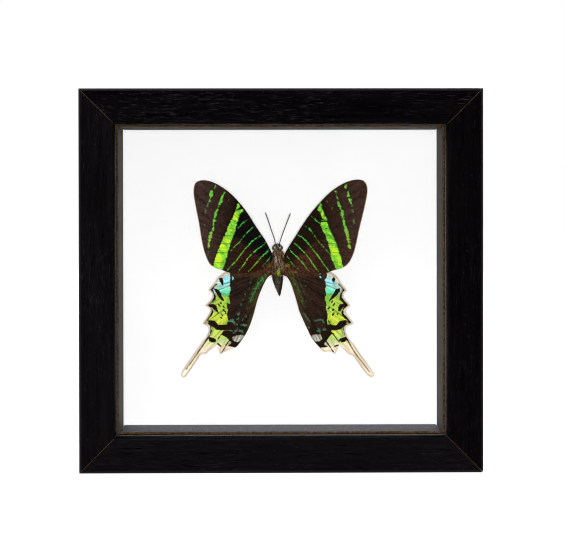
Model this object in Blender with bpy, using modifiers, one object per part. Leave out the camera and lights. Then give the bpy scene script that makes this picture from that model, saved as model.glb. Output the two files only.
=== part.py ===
"""A day-flying moth mounted in a small shadow-box picture frame.

Four mitred rails hold a glass pane, four spacer strips, a white mount board and a backboard,
one behind the other. The moth floats between the glass and the mount board on a foam block.

Metres, +Z up. The frame stands on its bottom rail with its face towards -Y, and the origin is
the middle of its footprint. Depths are counted from the front face towards +Y.
"""

import math

import bmesh
import bpy
from mathutils import Matrix, Vector

MM = 0.001
GAP = 0.3 * MM

# The frame: outer size, and the L-shaped moulding of its rails
FRAME_WIDTH = 150.0 * MM
FRAME_HEIGHT = 142.7 * MM
FRAME_DEPTH = 32.0 * MM
RAIL_WIDTH = 13.0 * MM
LIP_DEPTH = 8.0 * MM
REBATE = 5.0 * MM
FACE_ROUND = 1.0 * MM
BACK_ROUND = 0.5 * MM

# What lies in the rebate, from the glass to the backboard
GLASS_THICKNESS = 2.0 * MM
SPACER_DEPTH = 13.4 * MM
SPACER_REVEAL = 0.5 * MM
SPACER_ROUND = 0.35 * MM
MOUNT_THICKNESS = 1.5 * MM
BACKBOARD_THICKNESS = 3.0 * MM

GLASS_FRONT = LIP_DEPTH + GAP
SPACER_FRONT = GLASS_FRONT + GLASS_THICKNESS + GAP
MOUNT_FRONT = SPACER_FRONT + SPACER_DEPTH + GAP
BACKBOARD_FRONT = MOUNT_FRONT + MOUNT_THICKNESS + GAP
BACKBOARD_BACK = BACKBOARD_FRONT + BACKBOARD_THICKNESS

# The clear rectangle inside the rebate, and the smaller one inside the spacers
REBATE_HALF_WIDTH = FRAME_WIDTH / 2 - RAIL_WIDTH + REBATE
REBATE_HALF_HEIGHT = FRAME_HEIGHT / 2 - RAIL_WIDTH + REBATE
VIEW_HALF_WIDTH = FRAME_WIDTH / 2 - RAIL_WIDTH - SPACER_REVEAL
VIEW_HALF_HEIGHT = FRAME_HEIGHT / 2 - RAIL_WIDTH - SPACER_REVEAL

# Flat steel points pushed into slots in the rebate wall, behind the backboard
POINT_THICKNESS = 0.5 * MM
POINT_WIDTH = 5.0 * MM
POINT_REACH = 6.0 * MM
POINT_BITE = 2.5 * MM
POINT_SPREAD = 33.0 * MM

# The sawtooth hanger on the backboard, and its two rivets
HANGER_HALF_LENGTH = 20.0 * MM
HANGER_FOOT = 7.0 * MM
HANGER_RAMP = 1.5 * MM
HANGER_HEIGHT = 8.0 * MM
HANGER_SHEET = 0.6 * MM
HANGER_STAND_OFF = 1.1 * MM
HANGER_DROP = 22.0 * MM
TOOTH_PITCH = 2.4 * MM
TOOTH_DEPTH = 1.4 * MM
TEETH = 8
RIVET_HEAD_RADIUS = 2.0 * MM
RIVET_HEAD_HEIGHT = 0.8 * MM
RIVET_SHANK_RADIUS = 1.2 * MM
RIVET_INSET = 3.5 * MM

# The moth: where its thorax sits in the frame, and how deep its pieces lie
MOTH_SIDEWAYS = -0.8 * MM
MOTH_HEIGHT = 77.5 * MM
BODY_DEPTH = 17.3 * MM
FOREWING_DEPTH = 16.5 * MM
HINDWING_DEPTH = 17.5 * MM
WING_THICKNESS = 0.5 * MM
WING_ROOT = 2.7 * MM
WING_LIFT = math.radians(3)
OUTLINE_STEP = 0.75
FOAM_RADIUS = 1.8 * MM

# Wing outlines in millimetres from the middle of the thorax: x to the right, z up. Each is a list
# of smooth runs that meet at corners, in order round the wing from the front of its root.
FOREWING_LEFT = [
    [
        (-2.7, 3.9), (-4.8, 8.1), (-8.7, 14.0), (-12.6, 20.0), (-17.5, 25.7), (-22.4, 29.5),
        (-26.8, 31.4), (-30.2, 31.5), (-32.1, 30.2), (-32.7, 27.0), (-31.9, 21.6), (-30.6, 14.8),
        (-29.6, 8.5), (-28.5, 3.9), (-26.7, -0.3), (-24.6, -1.9), (-21.8, -2.9), (-18.6, -4.0),
    ],
    [(-18.6, -4.0), (-14.0, -4.2), (-9.5, -3.7), (-5.5, -2.6), (-2.7, -1.3)],
    [(-2.7, -1.3), (-2.7, 3.9)],
]
FOREWING_RIGHT = [
    [
        (2.7, 3.8), (4.2, 6.3), (7.2, 11.0), (10.9, 16.7), (14.7, 21.5), (19.9, 26.9),
        (24.8, 30.2), (28.6, 31.6), (31.6, 31.8), (33.6, 30.7), (34.4, 28.2), (34.0, 24.6),
        (32.7, 18.6), (31.2, 12.4), (30.0, 6.8), (28.9, 3.0), (27.3, -0.1), (25.4, -1.8),
        (23.0, -2.7), (20.6, -3.3), (19.2, -4.0),
    ],
    [(19.2, -4.0), (15.0, -4.1), (10.5, -3.8), (6.0, -2.8), (2.7, -1.3)],
    [(2.7, -1.3), (2.7, 3.8)],
]
HINDWING_LEFT = [
    [
        (-2.7, -1.8), (-7.0, -1.4), (-12.0, -1.6), (-17.0, -2.5), (-19.8, -3.7), (-21.6, -4.7),
        (-23.2, -5.9), (-24.5, -7.9), (-25.6, -9.3), (-26.9, -10.6),
    ],
    [(-26.9, -10.6), (-25.5, -11.9), (-25.4, -13.4), (-26.2, -14.9), (-28.0, -16.6)],
    [(-28.0, -16.6), (-26.6, -17.6), (-26.2, -18.8), (-26.9, -20.4), (-29.1, -23.6)],
    [
        (-29.1, -23.6), (-27.5, -24.4), (-26.7, -25.6), (-26.9, -27.2), (-27.9, -28.9),
        (-30.4, -32.0), (-32.9, -35.5), (-35.5, -39.3), (-37.2, -41.9), (-37.7, -43.2),
        (-36.9, -44.1), (-35.6, -43.7), (-33.4, -40.6), (-31.0, -37.1), (-29.9, -35.5),
        (-28.0, -35.2), (-26.6, -33.9), (-24.9, -32.7), (-23.8, -31.8),
    ],
    [(-23.8, -31.8), (-23.3, -33.4), (-22.6, -35.5)],
    [(-22.6, -35.5), (-20.9, -34.6), (-18.8, -33.6), (-16.3, -32.6)],
    [
        (-16.3, -32.6), (-15.4, -31.6), (-14.0, -29.7), (-12.6, -27.6), (-11.0, -24.2),
        (-9.6, -20.0), (-8.4, -15.5), (-7.0, -11.5), (-5.0, -7.2), (-3.7, -5.5), (-2.7, -4.8),
    ],
    [(-2.7, -4.8), (-2.7, -1.8)],
]
HINDWING_RIGHT = [
    [
        (2.7, -1.8), (7.0, -1.4), (12.0, -1.6), (17.0, -2.6), (19.6, -3.8), (21.6, -4.9),
        (23.2, -6.4), (24.1, -8.4), (25.3, -9.7), (26.3, -10.8),
    ],
    [(26.3, -10.8), (25.1, -12.0), (24.9, -13.1), (25.7, -14.5), (27.6, -16.7)],
    [(27.6, -16.7), (26.2, -17.9), (25.9, -19.0), (26.7, -20.8), (28.9, -23.6)],
    [
        (28.9, -23.6), (26.8, -24.4), (25.7, -25.3), (25.9, -27.0), (26.6, -28.7),
        (29.4, -32.1), (32.0, -36.0), (34.9, -40.0), (36.5, -42.2), (36.9, -43.4),
        (36.1, -44.3), (34.7, -43.9), (32.3, -41.0), (30.2, -37.9), (28.9, -36.0),
        (27.3, -35.6), (26.0, -34.2), (24.6, -32.9), (23.4, -32.2),
    ],
    [(23.4, -32.2), (22.8, -33.9), (22.0, -35.6)],
    [(22.0, -35.6), (20.8, -34.9), (19.4, -34.4), (17.9, -34.7)],
    [
        (17.9, -34.7), (16.9, -34.3), (15.9, -32.9), (14.3, -31.1), (12.9, -29.2), (11.2, -25.8),
        (9.6, -22.4), (8.2, -19.0), (7.2, -15.4), (6.1, -11.8), (4.9, -8.3), (3.7, -6.1),
        (2.7, -4.8),
    ],
    [(2.7, -4.8), (2.7, -1.8)],
]

# Antennae, from the brow to the tip, in the wings' millimetres
ANTENNA_LEFT = [(-1.1, 7.4), (-1.6, 9.3), (-2.6, 12.2), (-3.8, 15.9), (-5.0, 19.2)]
ANTENNA_RIGHT = [(0.4, 7.4), (1.2, 9.8), (2.2, 12.4), (3.3, 15.4), (4.7, 18.9)]
ANTENNA_RADIUS = 0.17 * MM
ANTENNA_LEAN = 1.2 * MM


def depth_to_y(depth):
    return depth - FRAME_DEPTH / 2


# Scene helpers


def clear_objects():
    for old in list(bpy.data.objects):
        bpy.data.objects.remove(old, do_unlink=True)


def new_collection(name):
    made = bpy.data.collections.new(name)
    bpy.context.scene.collection.children.link(made)
    return made


def new_material(name, colour, roughness, metallic=0.0, transmission=0.0):
    made = bpy.data.materials.new(name)
    made.use_nodes = True
    shader = made.node_tree.nodes["Principled BSDF"]
    shader.inputs["Base Color"].default_value = (*colour, 1.0)
    shader.inputs["Roughness"].default_value = roughness
    shader.inputs["Metallic"].default_value = metallic
    shader.inputs["Transmission Weight"].default_value = transmission
    return made


clear_objects()
PARTS = new_collection("framed_moth")
CUTTERS = new_collection("framed_moth_cutters")

BLACK_WOOD = new_material("black_wood", (0.012, 0.011, 0.012), 0.42)
SPACER_BLACK = new_material("spacer_black", (0.05, 0.048, 0.045), 0.55)
CLEAR_GLASS = new_material("clear_glass", (0.95, 0.98, 0.97), 0.02, transmission=1.0)
WHITE_BOARD = new_material("white_board", (0.9, 0.9, 0.89), 0.85)
HARDBOARD = new_material("hardboard", (0.22, 0.13, 0.07), 0.8)
STEEL = new_material("bright_steel", (0.6, 0.6, 0.6), 0.35, metallic=1.0)
WHITE_FOAM = new_material("white_foam", (0.85, 0.85, 0.83), 0.9)
WING_BROWN = new_material("wing_scales", (0.05, 0.03, 0.022), 0.7)
BODY_HAIR = new_material("body_hair", (0.16, 0.1, 0.06), 0.9)
HEAD_GREY = new_material("head_grey", (0.11, 0.1, 0.09), 0.7)
ABDOMEN_DARK = new_material("abdomen_dark", (0.05, 0.045, 0.035), 0.7)
ANTENNA_BROWN = new_material("antenna_brown", (0.16, 0.11, 0.09), 0.6)


def place(name, data, material, parent, location=(0, 0, 0), rotation=(0, 0, 0)):
    made = bpy.data.objects.new(name, data)
    made.data.materials.append(material)
    made.parent = parent
    made.location = location
    made.rotation_euler = rotation
    PARTS.objects.link(made)
    return made


def place_empty(name, location):
    made = bpy.data.objects.new(name, None)
    made.location = location
    PARTS.objects.link(made)
    return made


def finish_mesh(name, bm):
    bmesh.ops.recalc_face_normals(bm, faces=bm.faces)
    mesh = bpy.data.meshes.new(name)
    bm.to_mesh(mesh)
    bm.free()
    return mesh


def box_mesh(name, size):
    bm = bmesh.new()
    bmesh.ops.create_cube(bm, size=1.0, matrix=Matrix.Diagonal((*size, 1.0)))
    return finish_mesh(name, bm)


def box(name, size, centre, material):
    return place(name, box_mesh(name, size), material, FRAME, centre)


def hide_as_cutter(cutter):
    CUTTERS.objects.link(cutter)
    PARTS.objects.unlink(cutter)
    cutter.hide_render = True
    cutter.display_type = "WIRE"


def cut(target, cutter):
    modifier = target.modifiers.new("cut_" + cutter.name, "BOOLEAN")
    modifier.operation = "DIFFERENCE"
    modifier.solver = "EXACT"
    modifier.object = cutter


def flat_curve(name, outline, thickness):
    """A closed outline in the curve's own XY plane, filled and thickened about that plane."""
    curve = bpy.data.curves.new(name, "CURVE")
    curve.dimensions = "2D"
    curve.fill_mode = "BOTH"
    curve.extrude = thickness / 2
    spline = curve.splines.new("POLY")
    spline.points.add(len(outline) - 1)
    for point, (x, y) in zip(spline.points, outline):
        point.co = (x, y, 0, 1)
    spline.use_cyclic_u = True
    return curve


def curve_to_mesh_object(curve_object):
    """The same solid as a mesh with its caps welded on, so that it can be cut."""
    name = curve_object.name
    bpy.context.view_layer.update()
    evaluated = curve_object.evaluated_get(bpy.context.evaluated_depsgraph_get())
    mesh = bpy.data.meshes.new_from_object(evaluated)
    bm = bmesh.new()
    bm.from_mesh(mesh)
    bmesh.ops.remove_doubles(bm, verts=bm.verts, dist=0.001 * MM)
    bm.to_mesh(mesh)
    bm.free()
    made = bpy.data.objects.new(name + "_mesh", mesh)
    made.parent = curve_object.parent
    made.location = curve_object.location
    made.rotation_euler = curve_object.rotation_euler
    PARTS.objects.link(made)
    bpy.data.objects.remove(curve_object, do_unlink=True)
    made.name = name
    return made


def turned(name, profile, steps, material, parent, location, rotation=(0, 0, 0)):
    """A solid turned about its own Z axis. The profile is (radius, height), from top to bottom."""
    mesh = bpy.data.meshes.new(name)
    points = [(radius, 0, height) for radius, height in profile]
    mesh.from_pydata(points, [(i, i + 1) for i in range(len(points) - 1)], [])
    made = place(name, mesh, material, parent, location, rotation)
    screw = made.modifiers.new("turn", "SCREW")
    screw.steps = steps
    screw.render_steps = steps
    screw.use_merge_vertices = True
    screw.merge_threshold = 0.001 * MM
    return made


def ball(name, radii, material, parent, location, segments=24, rings=14):
    bm = bmesh.new()
    bmesh.ops.create_uvsphere(
        bm, u_segments=segments, v_segments=rings, radius=1.0, matrix=Matrix.Diagonal((*radii, 1.0))
    )
    made = place(name, finish_mesh(name, bm), material, parent, location)
    made.data.shade_smooth()
    return made


# Where things are parented: the frame's own centre, and the middle of the moth's thorax

FRAME = place_empty("frame_centre", (0, 0, FRAME_HEIGHT / 2))
MOTH = place_empty("moth_centre", (MOTH_SIDEWAYS, 0, MOTH_HEIGHT))


# Rails


def arc(centre, radius, start, end, segments):
    """Points (depth, across) on a round, with its angles in degrees from the depth axis."""
    points = []
    for i in range(segments + 1):
        angle = math.radians(start + (end - start) * i / segments)
        points.append(
            (centre[0] + radius * math.cos(angle), centre[1] + radius * math.sin(angle))
        )
    return points


def moulding_profile():
    """The rail's section as (depth, across), where across runs in from the frame's outer side."""
    return [
        *arc((FACE_ROUND, FACE_ROUND), FACE_ROUND, 270, 180, 5),
        *arc((FACE_ROUND, RAIL_WIDTH - FACE_ROUND), FACE_ROUND, 180, 90, 5),
        (LIP_DEPTH, RAIL_WIDTH),
        (LIP_DEPTH, RAIL_WIDTH - REBATE),
        (FRAME_DEPTH, RAIL_WIDTH - REBATE),
        *arc((FRAME_DEPTH - BACK_ROUND, BACK_ROUND), BACK_ROUND, 0, -90, 2),
    ]


def rail(name, outer_length, location, turn):
    """One rail along its own X, with the outer side at Z = 0 and mitred ends."""
    half = outer_length / 2
    bm = bmesh.new()
    section = [bm.verts.new((-half, depth_to_y(d), across)) for d, across in moulding_profile()]
    grown = bmesh.ops.extrude_face_region(bm, geom=[bm.faces.new(section)])
    far_end = [v for v in grown["geom"] if isinstance(v, bmesh.types.BMVert)]
    bmesh.ops.translate(bm, verts=far_end, vec=(outer_length, 0, 0))
    mitre_clearance = GAP / 2 * math.sqrt(2)
    for vert in bm.verts:
        vert.co.x = math.copysign(half - vert.co.z - mitre_clearance, vert.co.x)
    made = place(name, finish_mesh(name, bm), BLACK_WOOD, FRAME, location, (0, turn, 0))
    made.data.shade_smooth()
    made.data.set_sharp_from_angle(angle=math.radians(30))
    return made


RAIL_PLACES = {
    "rail_bottom": (FRAME_WIDTH, (0, 0, -FRAME_HEIGHT / 2), 0),
    "rail_right": (FRAME_HEIGHT, (FRAME_WIDTH / 2, 0, 0), -math.pi / 2),
    "rail_top": (FRAME_WIDTH, (0, 0, FRAME_HEIGHT / 2), math.pi),
    "rail_left": (FRAME_HEIGHT, (-FRAME_WIDTH / 2, 0, 0), math.pi / 2),
}


# Retaining points, which sit in slots in the rails


def point_outline():
    """A tab whose pointed end bites into the wood. X is along the tab, from its tip."""
    tip = POINT_BITE
    length = POINT_BITE + POINT_REACH
    half = POINT_WIDTH / 2
    return [(0, 0), (tip, -half), (length, -half), (length, half), (tip, half)]


def retaining_points(rail_object, name, location, turn):
    """Two points on one rail, each with its slot cut in the rebate wall."""
    slot_size = (POINT_WIDTH + 2 * GAP, POINT_THICKNESS + 2 * GAP, POINT_BITE + 2 * GAP)
    depth = BACKBOARD_BACK + GAP + POINT_THICKNESS / 2
    wall = RAIL_WIDTH - REBATE
    turned_frame = Matrix.Translation(location) @ Matrix.Rotation(turn, 4, "Y")
    for side, along in (("a", -POINT_SPREAD), ("b", POINT_SPREAD)):
        slot_centre = Vector((along, depth_to_y(depth), wall - slot_size[2] / 2 + GAP))
        slot = place(
            f"{name}_slot_{side}", box_mesh(name + "_slot", slot_size), STEEL, FRAME,
            turned_frame @ slot_centre, (0, turn, 0),
        )
        cut(rail_object, slot)
        hide_as_cutter(slot)
        start = Vector((along, depth_to_y(depth), wall - POINT_BITE))
        curve = flat_curve("point", point_outline(), POINT_THICKNESS)
        lie_inward = Matrix.Rotation(turn, 3, "Y") @ Matrix(((0, 1, 0), (0, 0, 1), (1, 0, 0)))
        place(
            f"{name}_{side}", curve, STEEL, FRAME, turned_frame @ start, lie_inward.to_euler()
        )


def frame_rails():
    for name, (length, location, turn) in RAIL_PLACES.items():
        made = rail(name, length, location, turn)
        retaining_points(made, name.replace("rail", "point"), location, turn)


# Glass, spacers and boards, which all lie in the rebate


def sheet(name, front, thickness, material):
    size = (2 * (REBATE_HALF_WIDTH - GAP), thickness, 2 * (REBATE_HALF_HEIGHT - GAP))
    return box(name, size, (0, depth_to_y(front + thickness / 2), 0), material)


def spacers():
    """Side strips of full height, with the top and bottom strips between them."""
    y = depth_to_y(SPACER_FRONT + SPACER_DEPTH / 2)
    side_thickness = REBATE_HALF_WIDTH - GAP - VIEW_HALF_WIDTH
    level_thickness = REBATE_HALF_HEIGHT - GAP - VIEW_HALF_HEIGHT
    side_size = (side_thickness, SPACER_DEPTH, 2 * (REBATE_HALF_HEIGHT - GAP))
    level_size = (2 * (VIEW_HALF_WIDTH - GAP), SPACER_DEPTH, level_thickness)
    side_x = VIEW_HALF_WIDTH + side_thickness / 2
    level_z = VIEW_HALF_HEIGHT + level_thickness / 2
    strips = [
        box("spacer_left", side_size, (-side_x, y, 0), SPACER_BLACK),
        box("spacer_right", side_size, (side_x, y, 0), SPACER_BLACK),
        box("spacer_top", level_size, (0, y, level_z), SPACER_BLACK),
        box("spacer_bottom", level_size, (0, y, -level_z), SPACER_BLACK),
    ]
    for strip in strips:
        bevel = strip.modifiers.new("rounded_edges", "BEVEL")
        bevel.width = SPACER_ROUND
        bevel.segments = 2


# The hanger on the back


def hanger_section():
    """The bent strip seen from above, as (x, y): feet, ramps and a raised bridge."""
    foot_end = HANGER_HALF_LENGTH - HANGER_FOOT
    bridge_end = foot_end - HANGER_RAMP
    low, high = 0.0, HANGER_STAND_OFF
    front = [
        (-HANGER_HALF_LENGTH, low), (-foot_end, low), (-bridge_end, high),
        (bridge_end, high), (foot_end, low), (HANGER_HALF_LENGTH, low),
    ]
    back = [(x, y + HANGER_SHEET) for x, y in reversed(front)]
    return front + back


def teeth_cutter(location):
    """A row of wedges that notch the bridge's lower edge, in one mesh."""
    bm = bmesh.new()
    for i in range(TEETH):
        x = (i - (TEETH - 1) / 2) * TOOTH_PITCH
        bmesh.ops.create_cone(
            bm, cap_ends=True, segments=3, radius1=TOOTH_DEPTH, radius2=TOOTH_DEPTH,
            depth=4 * HANGER_STAND_OFF,
            matrix=Matrix.Translation((x, 0, 0)) @ Matrix.Rotation(math.pi / 2, 4, "X"),
        )
    made = place("hanger_teeth", finish_mesh("hanger_teeth", bm), STEEL, FRAME, location)
    hide_as_cutter(made)
    return made


def drill(name, location):
    bm = bmesh.new()
    radius = RIVET_SHANK_RADIUS + GAP
    bmesh.ops.create_cone(
        bm, cap_ends=True, segments=24, radius1=radius, radius2=radius, depth=FRAME_DEPTH / 2,
        matrix=Matrix.Rotation(math.pi / 2, 4, "X"),
    )
    made = place(name, finish_mesh(name, bm), STEEL, FRAME, location)
    hide_as_cutter(made)
    return made


def hanger(backboard):
    height = FRAME_HEIGHT / 2 - HANGER_DROP
    back_of_board = depth_to_y(BACKBOARD_BACK + GAP)
    curve = flat_curve("hanger", hanger_section(), HANGER_HEIGHT)
    strip = curve_to_mesh_object(
        place("sawtooth_hanger", curve, STEEL, FRAME, (0, back_of_board, height))
    )
    cut(strip, teeth_cutter((0, back_of_board + HANGER_STAND_OFF, height - HANGER_HEIGHT / 2)))
    head_base = HANGER_SHEET + GAP
    shank_length = HANGER_SHEET + 2 * GAP + BACKBOARD_THICKNESS
    profile = [
        (0, head_base + RIVET_HEAD_HEIGHT),
        (0.6 * RIVET_HEAD_RADIUS, head_base + 0.9 * RIVET_HEAD_HEIGHT),
        (0.9 * RIVET_HEAD_RADIUS, head_base + 0.6 * RIVET_HEAD_HEIGHT),
        (RIVET_HEAD_RADIUS, head_base),
        (RIVET_SHANK_RADIUS, head_base),
        (RIVET_SHANK_RADIUS, head_base - shank_length),
        (0, head_base - shank_length),
    ]
    for name, side in (("left", -1), ("right", 1)):
        centre = (side * (HANGER_HALF_LENGTH - RIVET_INSET), back_of_board, height)
        hole = drill(f"rivet_hole_{name}", centre)
        cut(strip, hole)
        cut(backboard, hole)
        turned(f"rivet_{name}", profile, 20, STEEL, FRAME, centre, (-math.pi / 2, 0, 0))


# The moth


def smooth_run(points):
    """Points along a curve through a run's own points, about one OUTLINE_STEP apart."""
    padded = [points[0], *points, points[-1]]
    made = []
    for before, start, end, after in zip(padded, padded[1:], padded[2:], padded[3:]):
        pieces = max(1, round(math.dist(start, end) / OUTLINE_STEP))
        for i in range(pieces):
            t = i / pieces
            made.append(
                tuple(
                    0.5
                    * (
                        2 * s
                        + (e - b) * t
                        + (2 * b - 5 * s + 4 * e - a) * t**2
                        + (3 * s - b - 3 * e + a) * t**3
                    )
                    for b, s, e, a in zip(before, start, end, after)
                )
            )
    return made


def wing_outline(runs, root_x):
    """The whole outline in metres from the wing's root. A run of two points stays straight."""
    outline = []
    for run in runs:
        outline += smooth_run(run) if len(run) > 2 else run[:1]
    return [(x * MM - root_x, z * MM) for x, z in outline]


def wing(name, runs, side, depth):
    """A thin wing whose tip is lifted towards the glass. side is -1 on the left, 1 on the right."""
    root_x = side * WING_ROOT
    curve = flat_curve(name, wing_outline(runs, root_x), WING_THICKNESS)
    location = (root_x, depth_to_y(depth), 0)
    return place(name, curve, WING_BROWN, MOTH, location, (math.pi / 2, 0, -side * WING_LIFT))


def wings():
    wing("forewing_left", FOREWING_LEFT, -1, FOREWING_DEPTH)
    wing("forewing_right", FOREWING_RIGHT, 1, FOREWING_DEPTH)
    wing("hindwing_left", HINDWING_LEFT, -1, HINDWING_DEPTH)
    wing("hindwing_right", HINDWING_RIGHT, 1, HINDWING_DEPTH)


def antenna(name, points):
    curve = bpy.data.curves.new(name, "CURVE")
    curve.dimensions = "3D"
    curve.bevel_depth = ANTENNA_RADIUS
    curve.bevel_resolution = 1
    curve.use_fill_caps = True
    spline = curve.splines.new("POLY")
    spline.points.add(len(points) - 1)
    for i, (x, z) in enumerate(points):
        lean = ANTENNA_LEAN * i / (len(points) - 1)
        spline.points[i].co = (x * MM, -lean, z * MM, 1)
    return place(name, curve, ANTENNA_BROWN, MOTH, (0, depth_to_y(BODY_DEPTH), 0))


def moth_body():
    y = depth_to_y(BODY_DEPTH)
    ball("thorax", (2.3 * MM, 2.4 * MM, 4.5 * MM), BODY_HAIR, MOTH, (0, y, -0.45 * MM))
    ball("head", (2.0 * MM, 1.6 * MM, 1.3 * MM), HEAD_GREY, MOTH, (-0.35 * MM, y, 5.75 * MM), 20, 12)
    abdomen = [
        (0, 0), (1.3, -0.2), (1.9, -0.8), (2.05, -1.8), (1.85, -3.2),
        (1.45, -4.7), (0.95, -6.0), (0.5, -6.9), (0, -7.3),
    ]
    turned(
        "abdomen", [(r * MM, z * MM) for r, z in abdomen], 20, ABDOMEN_DARK, MOTH,
        (-0.3 * MM, y, -5.35 * MM), (0, -math.radians(5), 0),
    )


def foam_block():
    """The block that carries the thorax, from the moth's underside to the mount board."""
    length = MOUNT_FRONT - GAP - (BODY_DEPTH + 2.4 * MM + GAP)
    profile = [(0, length), (FOAM_RADIUS, length), (FOAM_RADIUS, 0), (0, 0)]
    turned(
        "foam_block", profile, 24, WHITE_FOAM, MOTH,
        (0, depth_to_y(MOUNT_FRONT - GAP), -0.45 * MM), (math.pi / 2, 0, 0),
    )


frame_rails()
sheet("glass_pane", GLASS_FRONT, GLASS_THICKNESS, CLEAR_GLASS)
spacers()
sheet("mount_board", MOUNT_FRONT, MOUNT_THICKNESS, WHITE_BOARD)
hanger(sheet("backboard", BACKBOARD_FRONT, BACKBOARD_THICKNESS, HARDBOARD))
wings()
moth_body()
antenna("antenna_left", ANTENNA_LEFT)
antenna("antenna_right", ANTENNA_RIGHT)
foam_block()
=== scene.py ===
"""Looks of the framed moth specimen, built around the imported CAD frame.

The rails, glass, spacers, boards and fittings stay as the CAD made them and get materials here.
The moth is rebuilt: scaled wings with their marks, a hairy body, a head with eyes, and antennae.

Lengths in the moth's own drawing are millimetres from the middle of its thorax: u to the right,
v up. Everything else is metres in the frame's axes: X to the right, Y into the frame, Z up.
"""

import math

import bpy
import numpy as np
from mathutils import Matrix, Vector
from mathutils.geometry import delaunay_2d_cdt


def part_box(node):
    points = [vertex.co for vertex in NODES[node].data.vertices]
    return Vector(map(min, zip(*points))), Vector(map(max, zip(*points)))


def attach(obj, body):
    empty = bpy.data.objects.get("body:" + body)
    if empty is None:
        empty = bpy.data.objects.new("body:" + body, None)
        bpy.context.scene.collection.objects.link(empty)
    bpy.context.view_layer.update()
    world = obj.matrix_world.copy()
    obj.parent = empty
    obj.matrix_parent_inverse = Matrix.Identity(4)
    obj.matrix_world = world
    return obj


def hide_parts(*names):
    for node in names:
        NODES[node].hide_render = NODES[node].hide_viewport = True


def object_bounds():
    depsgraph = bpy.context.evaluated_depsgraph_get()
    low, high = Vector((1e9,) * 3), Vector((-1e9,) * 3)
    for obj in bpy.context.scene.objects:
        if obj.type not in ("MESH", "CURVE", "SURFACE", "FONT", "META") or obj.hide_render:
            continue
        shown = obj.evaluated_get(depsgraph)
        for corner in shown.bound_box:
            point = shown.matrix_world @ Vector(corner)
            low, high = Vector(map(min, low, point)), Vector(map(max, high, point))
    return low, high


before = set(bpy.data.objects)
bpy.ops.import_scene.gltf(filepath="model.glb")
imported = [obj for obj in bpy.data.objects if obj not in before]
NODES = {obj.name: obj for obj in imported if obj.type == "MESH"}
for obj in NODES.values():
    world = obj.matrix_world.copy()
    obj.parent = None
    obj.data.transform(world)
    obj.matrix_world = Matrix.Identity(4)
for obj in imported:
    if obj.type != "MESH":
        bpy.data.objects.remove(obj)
CAD_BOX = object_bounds()

MM = 0.001
# Farther apart than any two points of the moth, in millimetres
FAR = 99.0
RANDOM = np.random.default_rng(29)

# The middle of the thorax, from the CAD. The drawing's zero lies THORAX_RISE above it.
THORAX_LOW, THORAX_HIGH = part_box("thorax")
THORAX_RISE = 0.45 * MM
MOTH_X = (THORAX_LOW.x + THORAX_HIGH.x) / 2
MOTH_Z = (THORAX_LOW.z + THORAX_HIGH.z) / 2 + THORAX_RISE
BODY_Y = (THORAX_LOW.y + THORAX_HIGH.y) / 2

# Half of the opening that the lips leave, which is the rails' clear width
OPENING_HALF_WIDTH = -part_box("rail_left")[1].x
OPENING_HALF_HEIGHT = (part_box("rail_top")[0].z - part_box("rail_bottom")[1].z) / 2


# Small helpers


def srgb(red, green, blue):
    """A colour given as it looks on a screen, 0 to 255, as the linear colour that shaders take."""
    linear = []
    for part in (red, green, blue):
        share = part / 255
        linear.append(share / 12.92 if share <= 0.04045 else ((share + 0.055) / 1.055) ** 2.4)
    return (*linear, 1.0)


def link_object(name, data):
    made = bpy.data.objects.new(name, data)
    bpy.context.scene.collection.objects.link(made)
    return made


def mesh_object(name, points, faces, material):
    mesh = bpy.data.meshes.new(name)
    mesh.from_pydata([tuple(p) for p in points], [], [tuple(f) for f in faces])
    mesh.validate()
    mesh.shade_smooth()
    mesh.materials.append(material)
    return link_object(name, mesh)


def add_attribute(made, name, values):
    attribute = made.data.attributes.new(name, "FLOAT", "POINT")
    attribute.data.foreach_set("value", np.asarray(values, np.float32))


def finish_piece(made, slot, *replaced):
    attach(made, "root")
    if replaced:
        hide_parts(*replaced)
    return made


def smooth_path(points, step):
    """Points along a Catmull-Rom curve through given points, about one step apart."""
    points = [np.array(p, float) for p in points]
    padded = [2 * points[0] - points[1], *points, 2 * points[-1] - points[-2]]
    made = []
    for b, s, e, a in zip(padded, padded[1:], padded[2:], padded[3:]):
        pieces = max(1, round(float(np.linalg.norm((e - s)[:2])) / step))
        for i in range(pieces):
            t = i / pieces
            made.append(
                0.5 * (2 * s + (e - b) * t + (2 * b - 5 * s + 4 * e - a) * t**2
                       + (3 * s - b - 3 * e + a) * t**3)
            )
    made.append(points[-1])
    return np.array(made)


def smoothstep(value, low, high):
    t = np.clip((value - low) / (high - low), 0, 1)
    return t * t * (3 - 2 * t)


def inside_stroke(uv, points, step=0.4):
    """How far each point of uv lies inside a stroke, in millimetres: below 0 is outside.
    Each point of the stroke is (u, v, width)."""
    path = smooth_path(points, step) if len(points) > 2 else np.array(points, float)
    best = np.full(len(uv), -FAR)
    for start, end in zip(path, path[1:]):
        along = end[:2] - start[:2]
        t = np.clip(((uv - start[:2]) @ along) / max(along @ along, 1e-9), 0, 1)
        away = np.linalg.norm(uv - (start[:2] + t[:, None] * along), axis=1)
        best = np.maximum(best, (start[2] + t * (end[2] - start[2])) / 2 - away)
    return best


def inside_shape(uv, corners):
    """How far each point of uv lies inside a closed shape, in millimetres: below 0 is outside."""
    corners = np.array(corners, float)
    away = np.full(len(uv), FAR)
    inside = np.zeros(len(uv), bool)
    for start, end in zip(corners, np.roll(corners, -1, axis=0)):
        along = end - start
        t = np.clip(((uv - start) @ along) / max(along @ along, 1e-9), 0, 1)
        away = np.minimum(away, np.linalg.norm(uv - (start + t[:, None] * along), axis=1))
        crosses = (start[1] > uv[:, 1]) != (end[1] > uv[:, 1])
        rise = np.where(along[1] == 0, 1e-9, along[1])
        inside ^= crosses & (uv[:, 0] < start[0] + (uv[:, 1] - start[1]) * along[0] / rise)
    return np.where(inside, away, -away)


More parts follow.
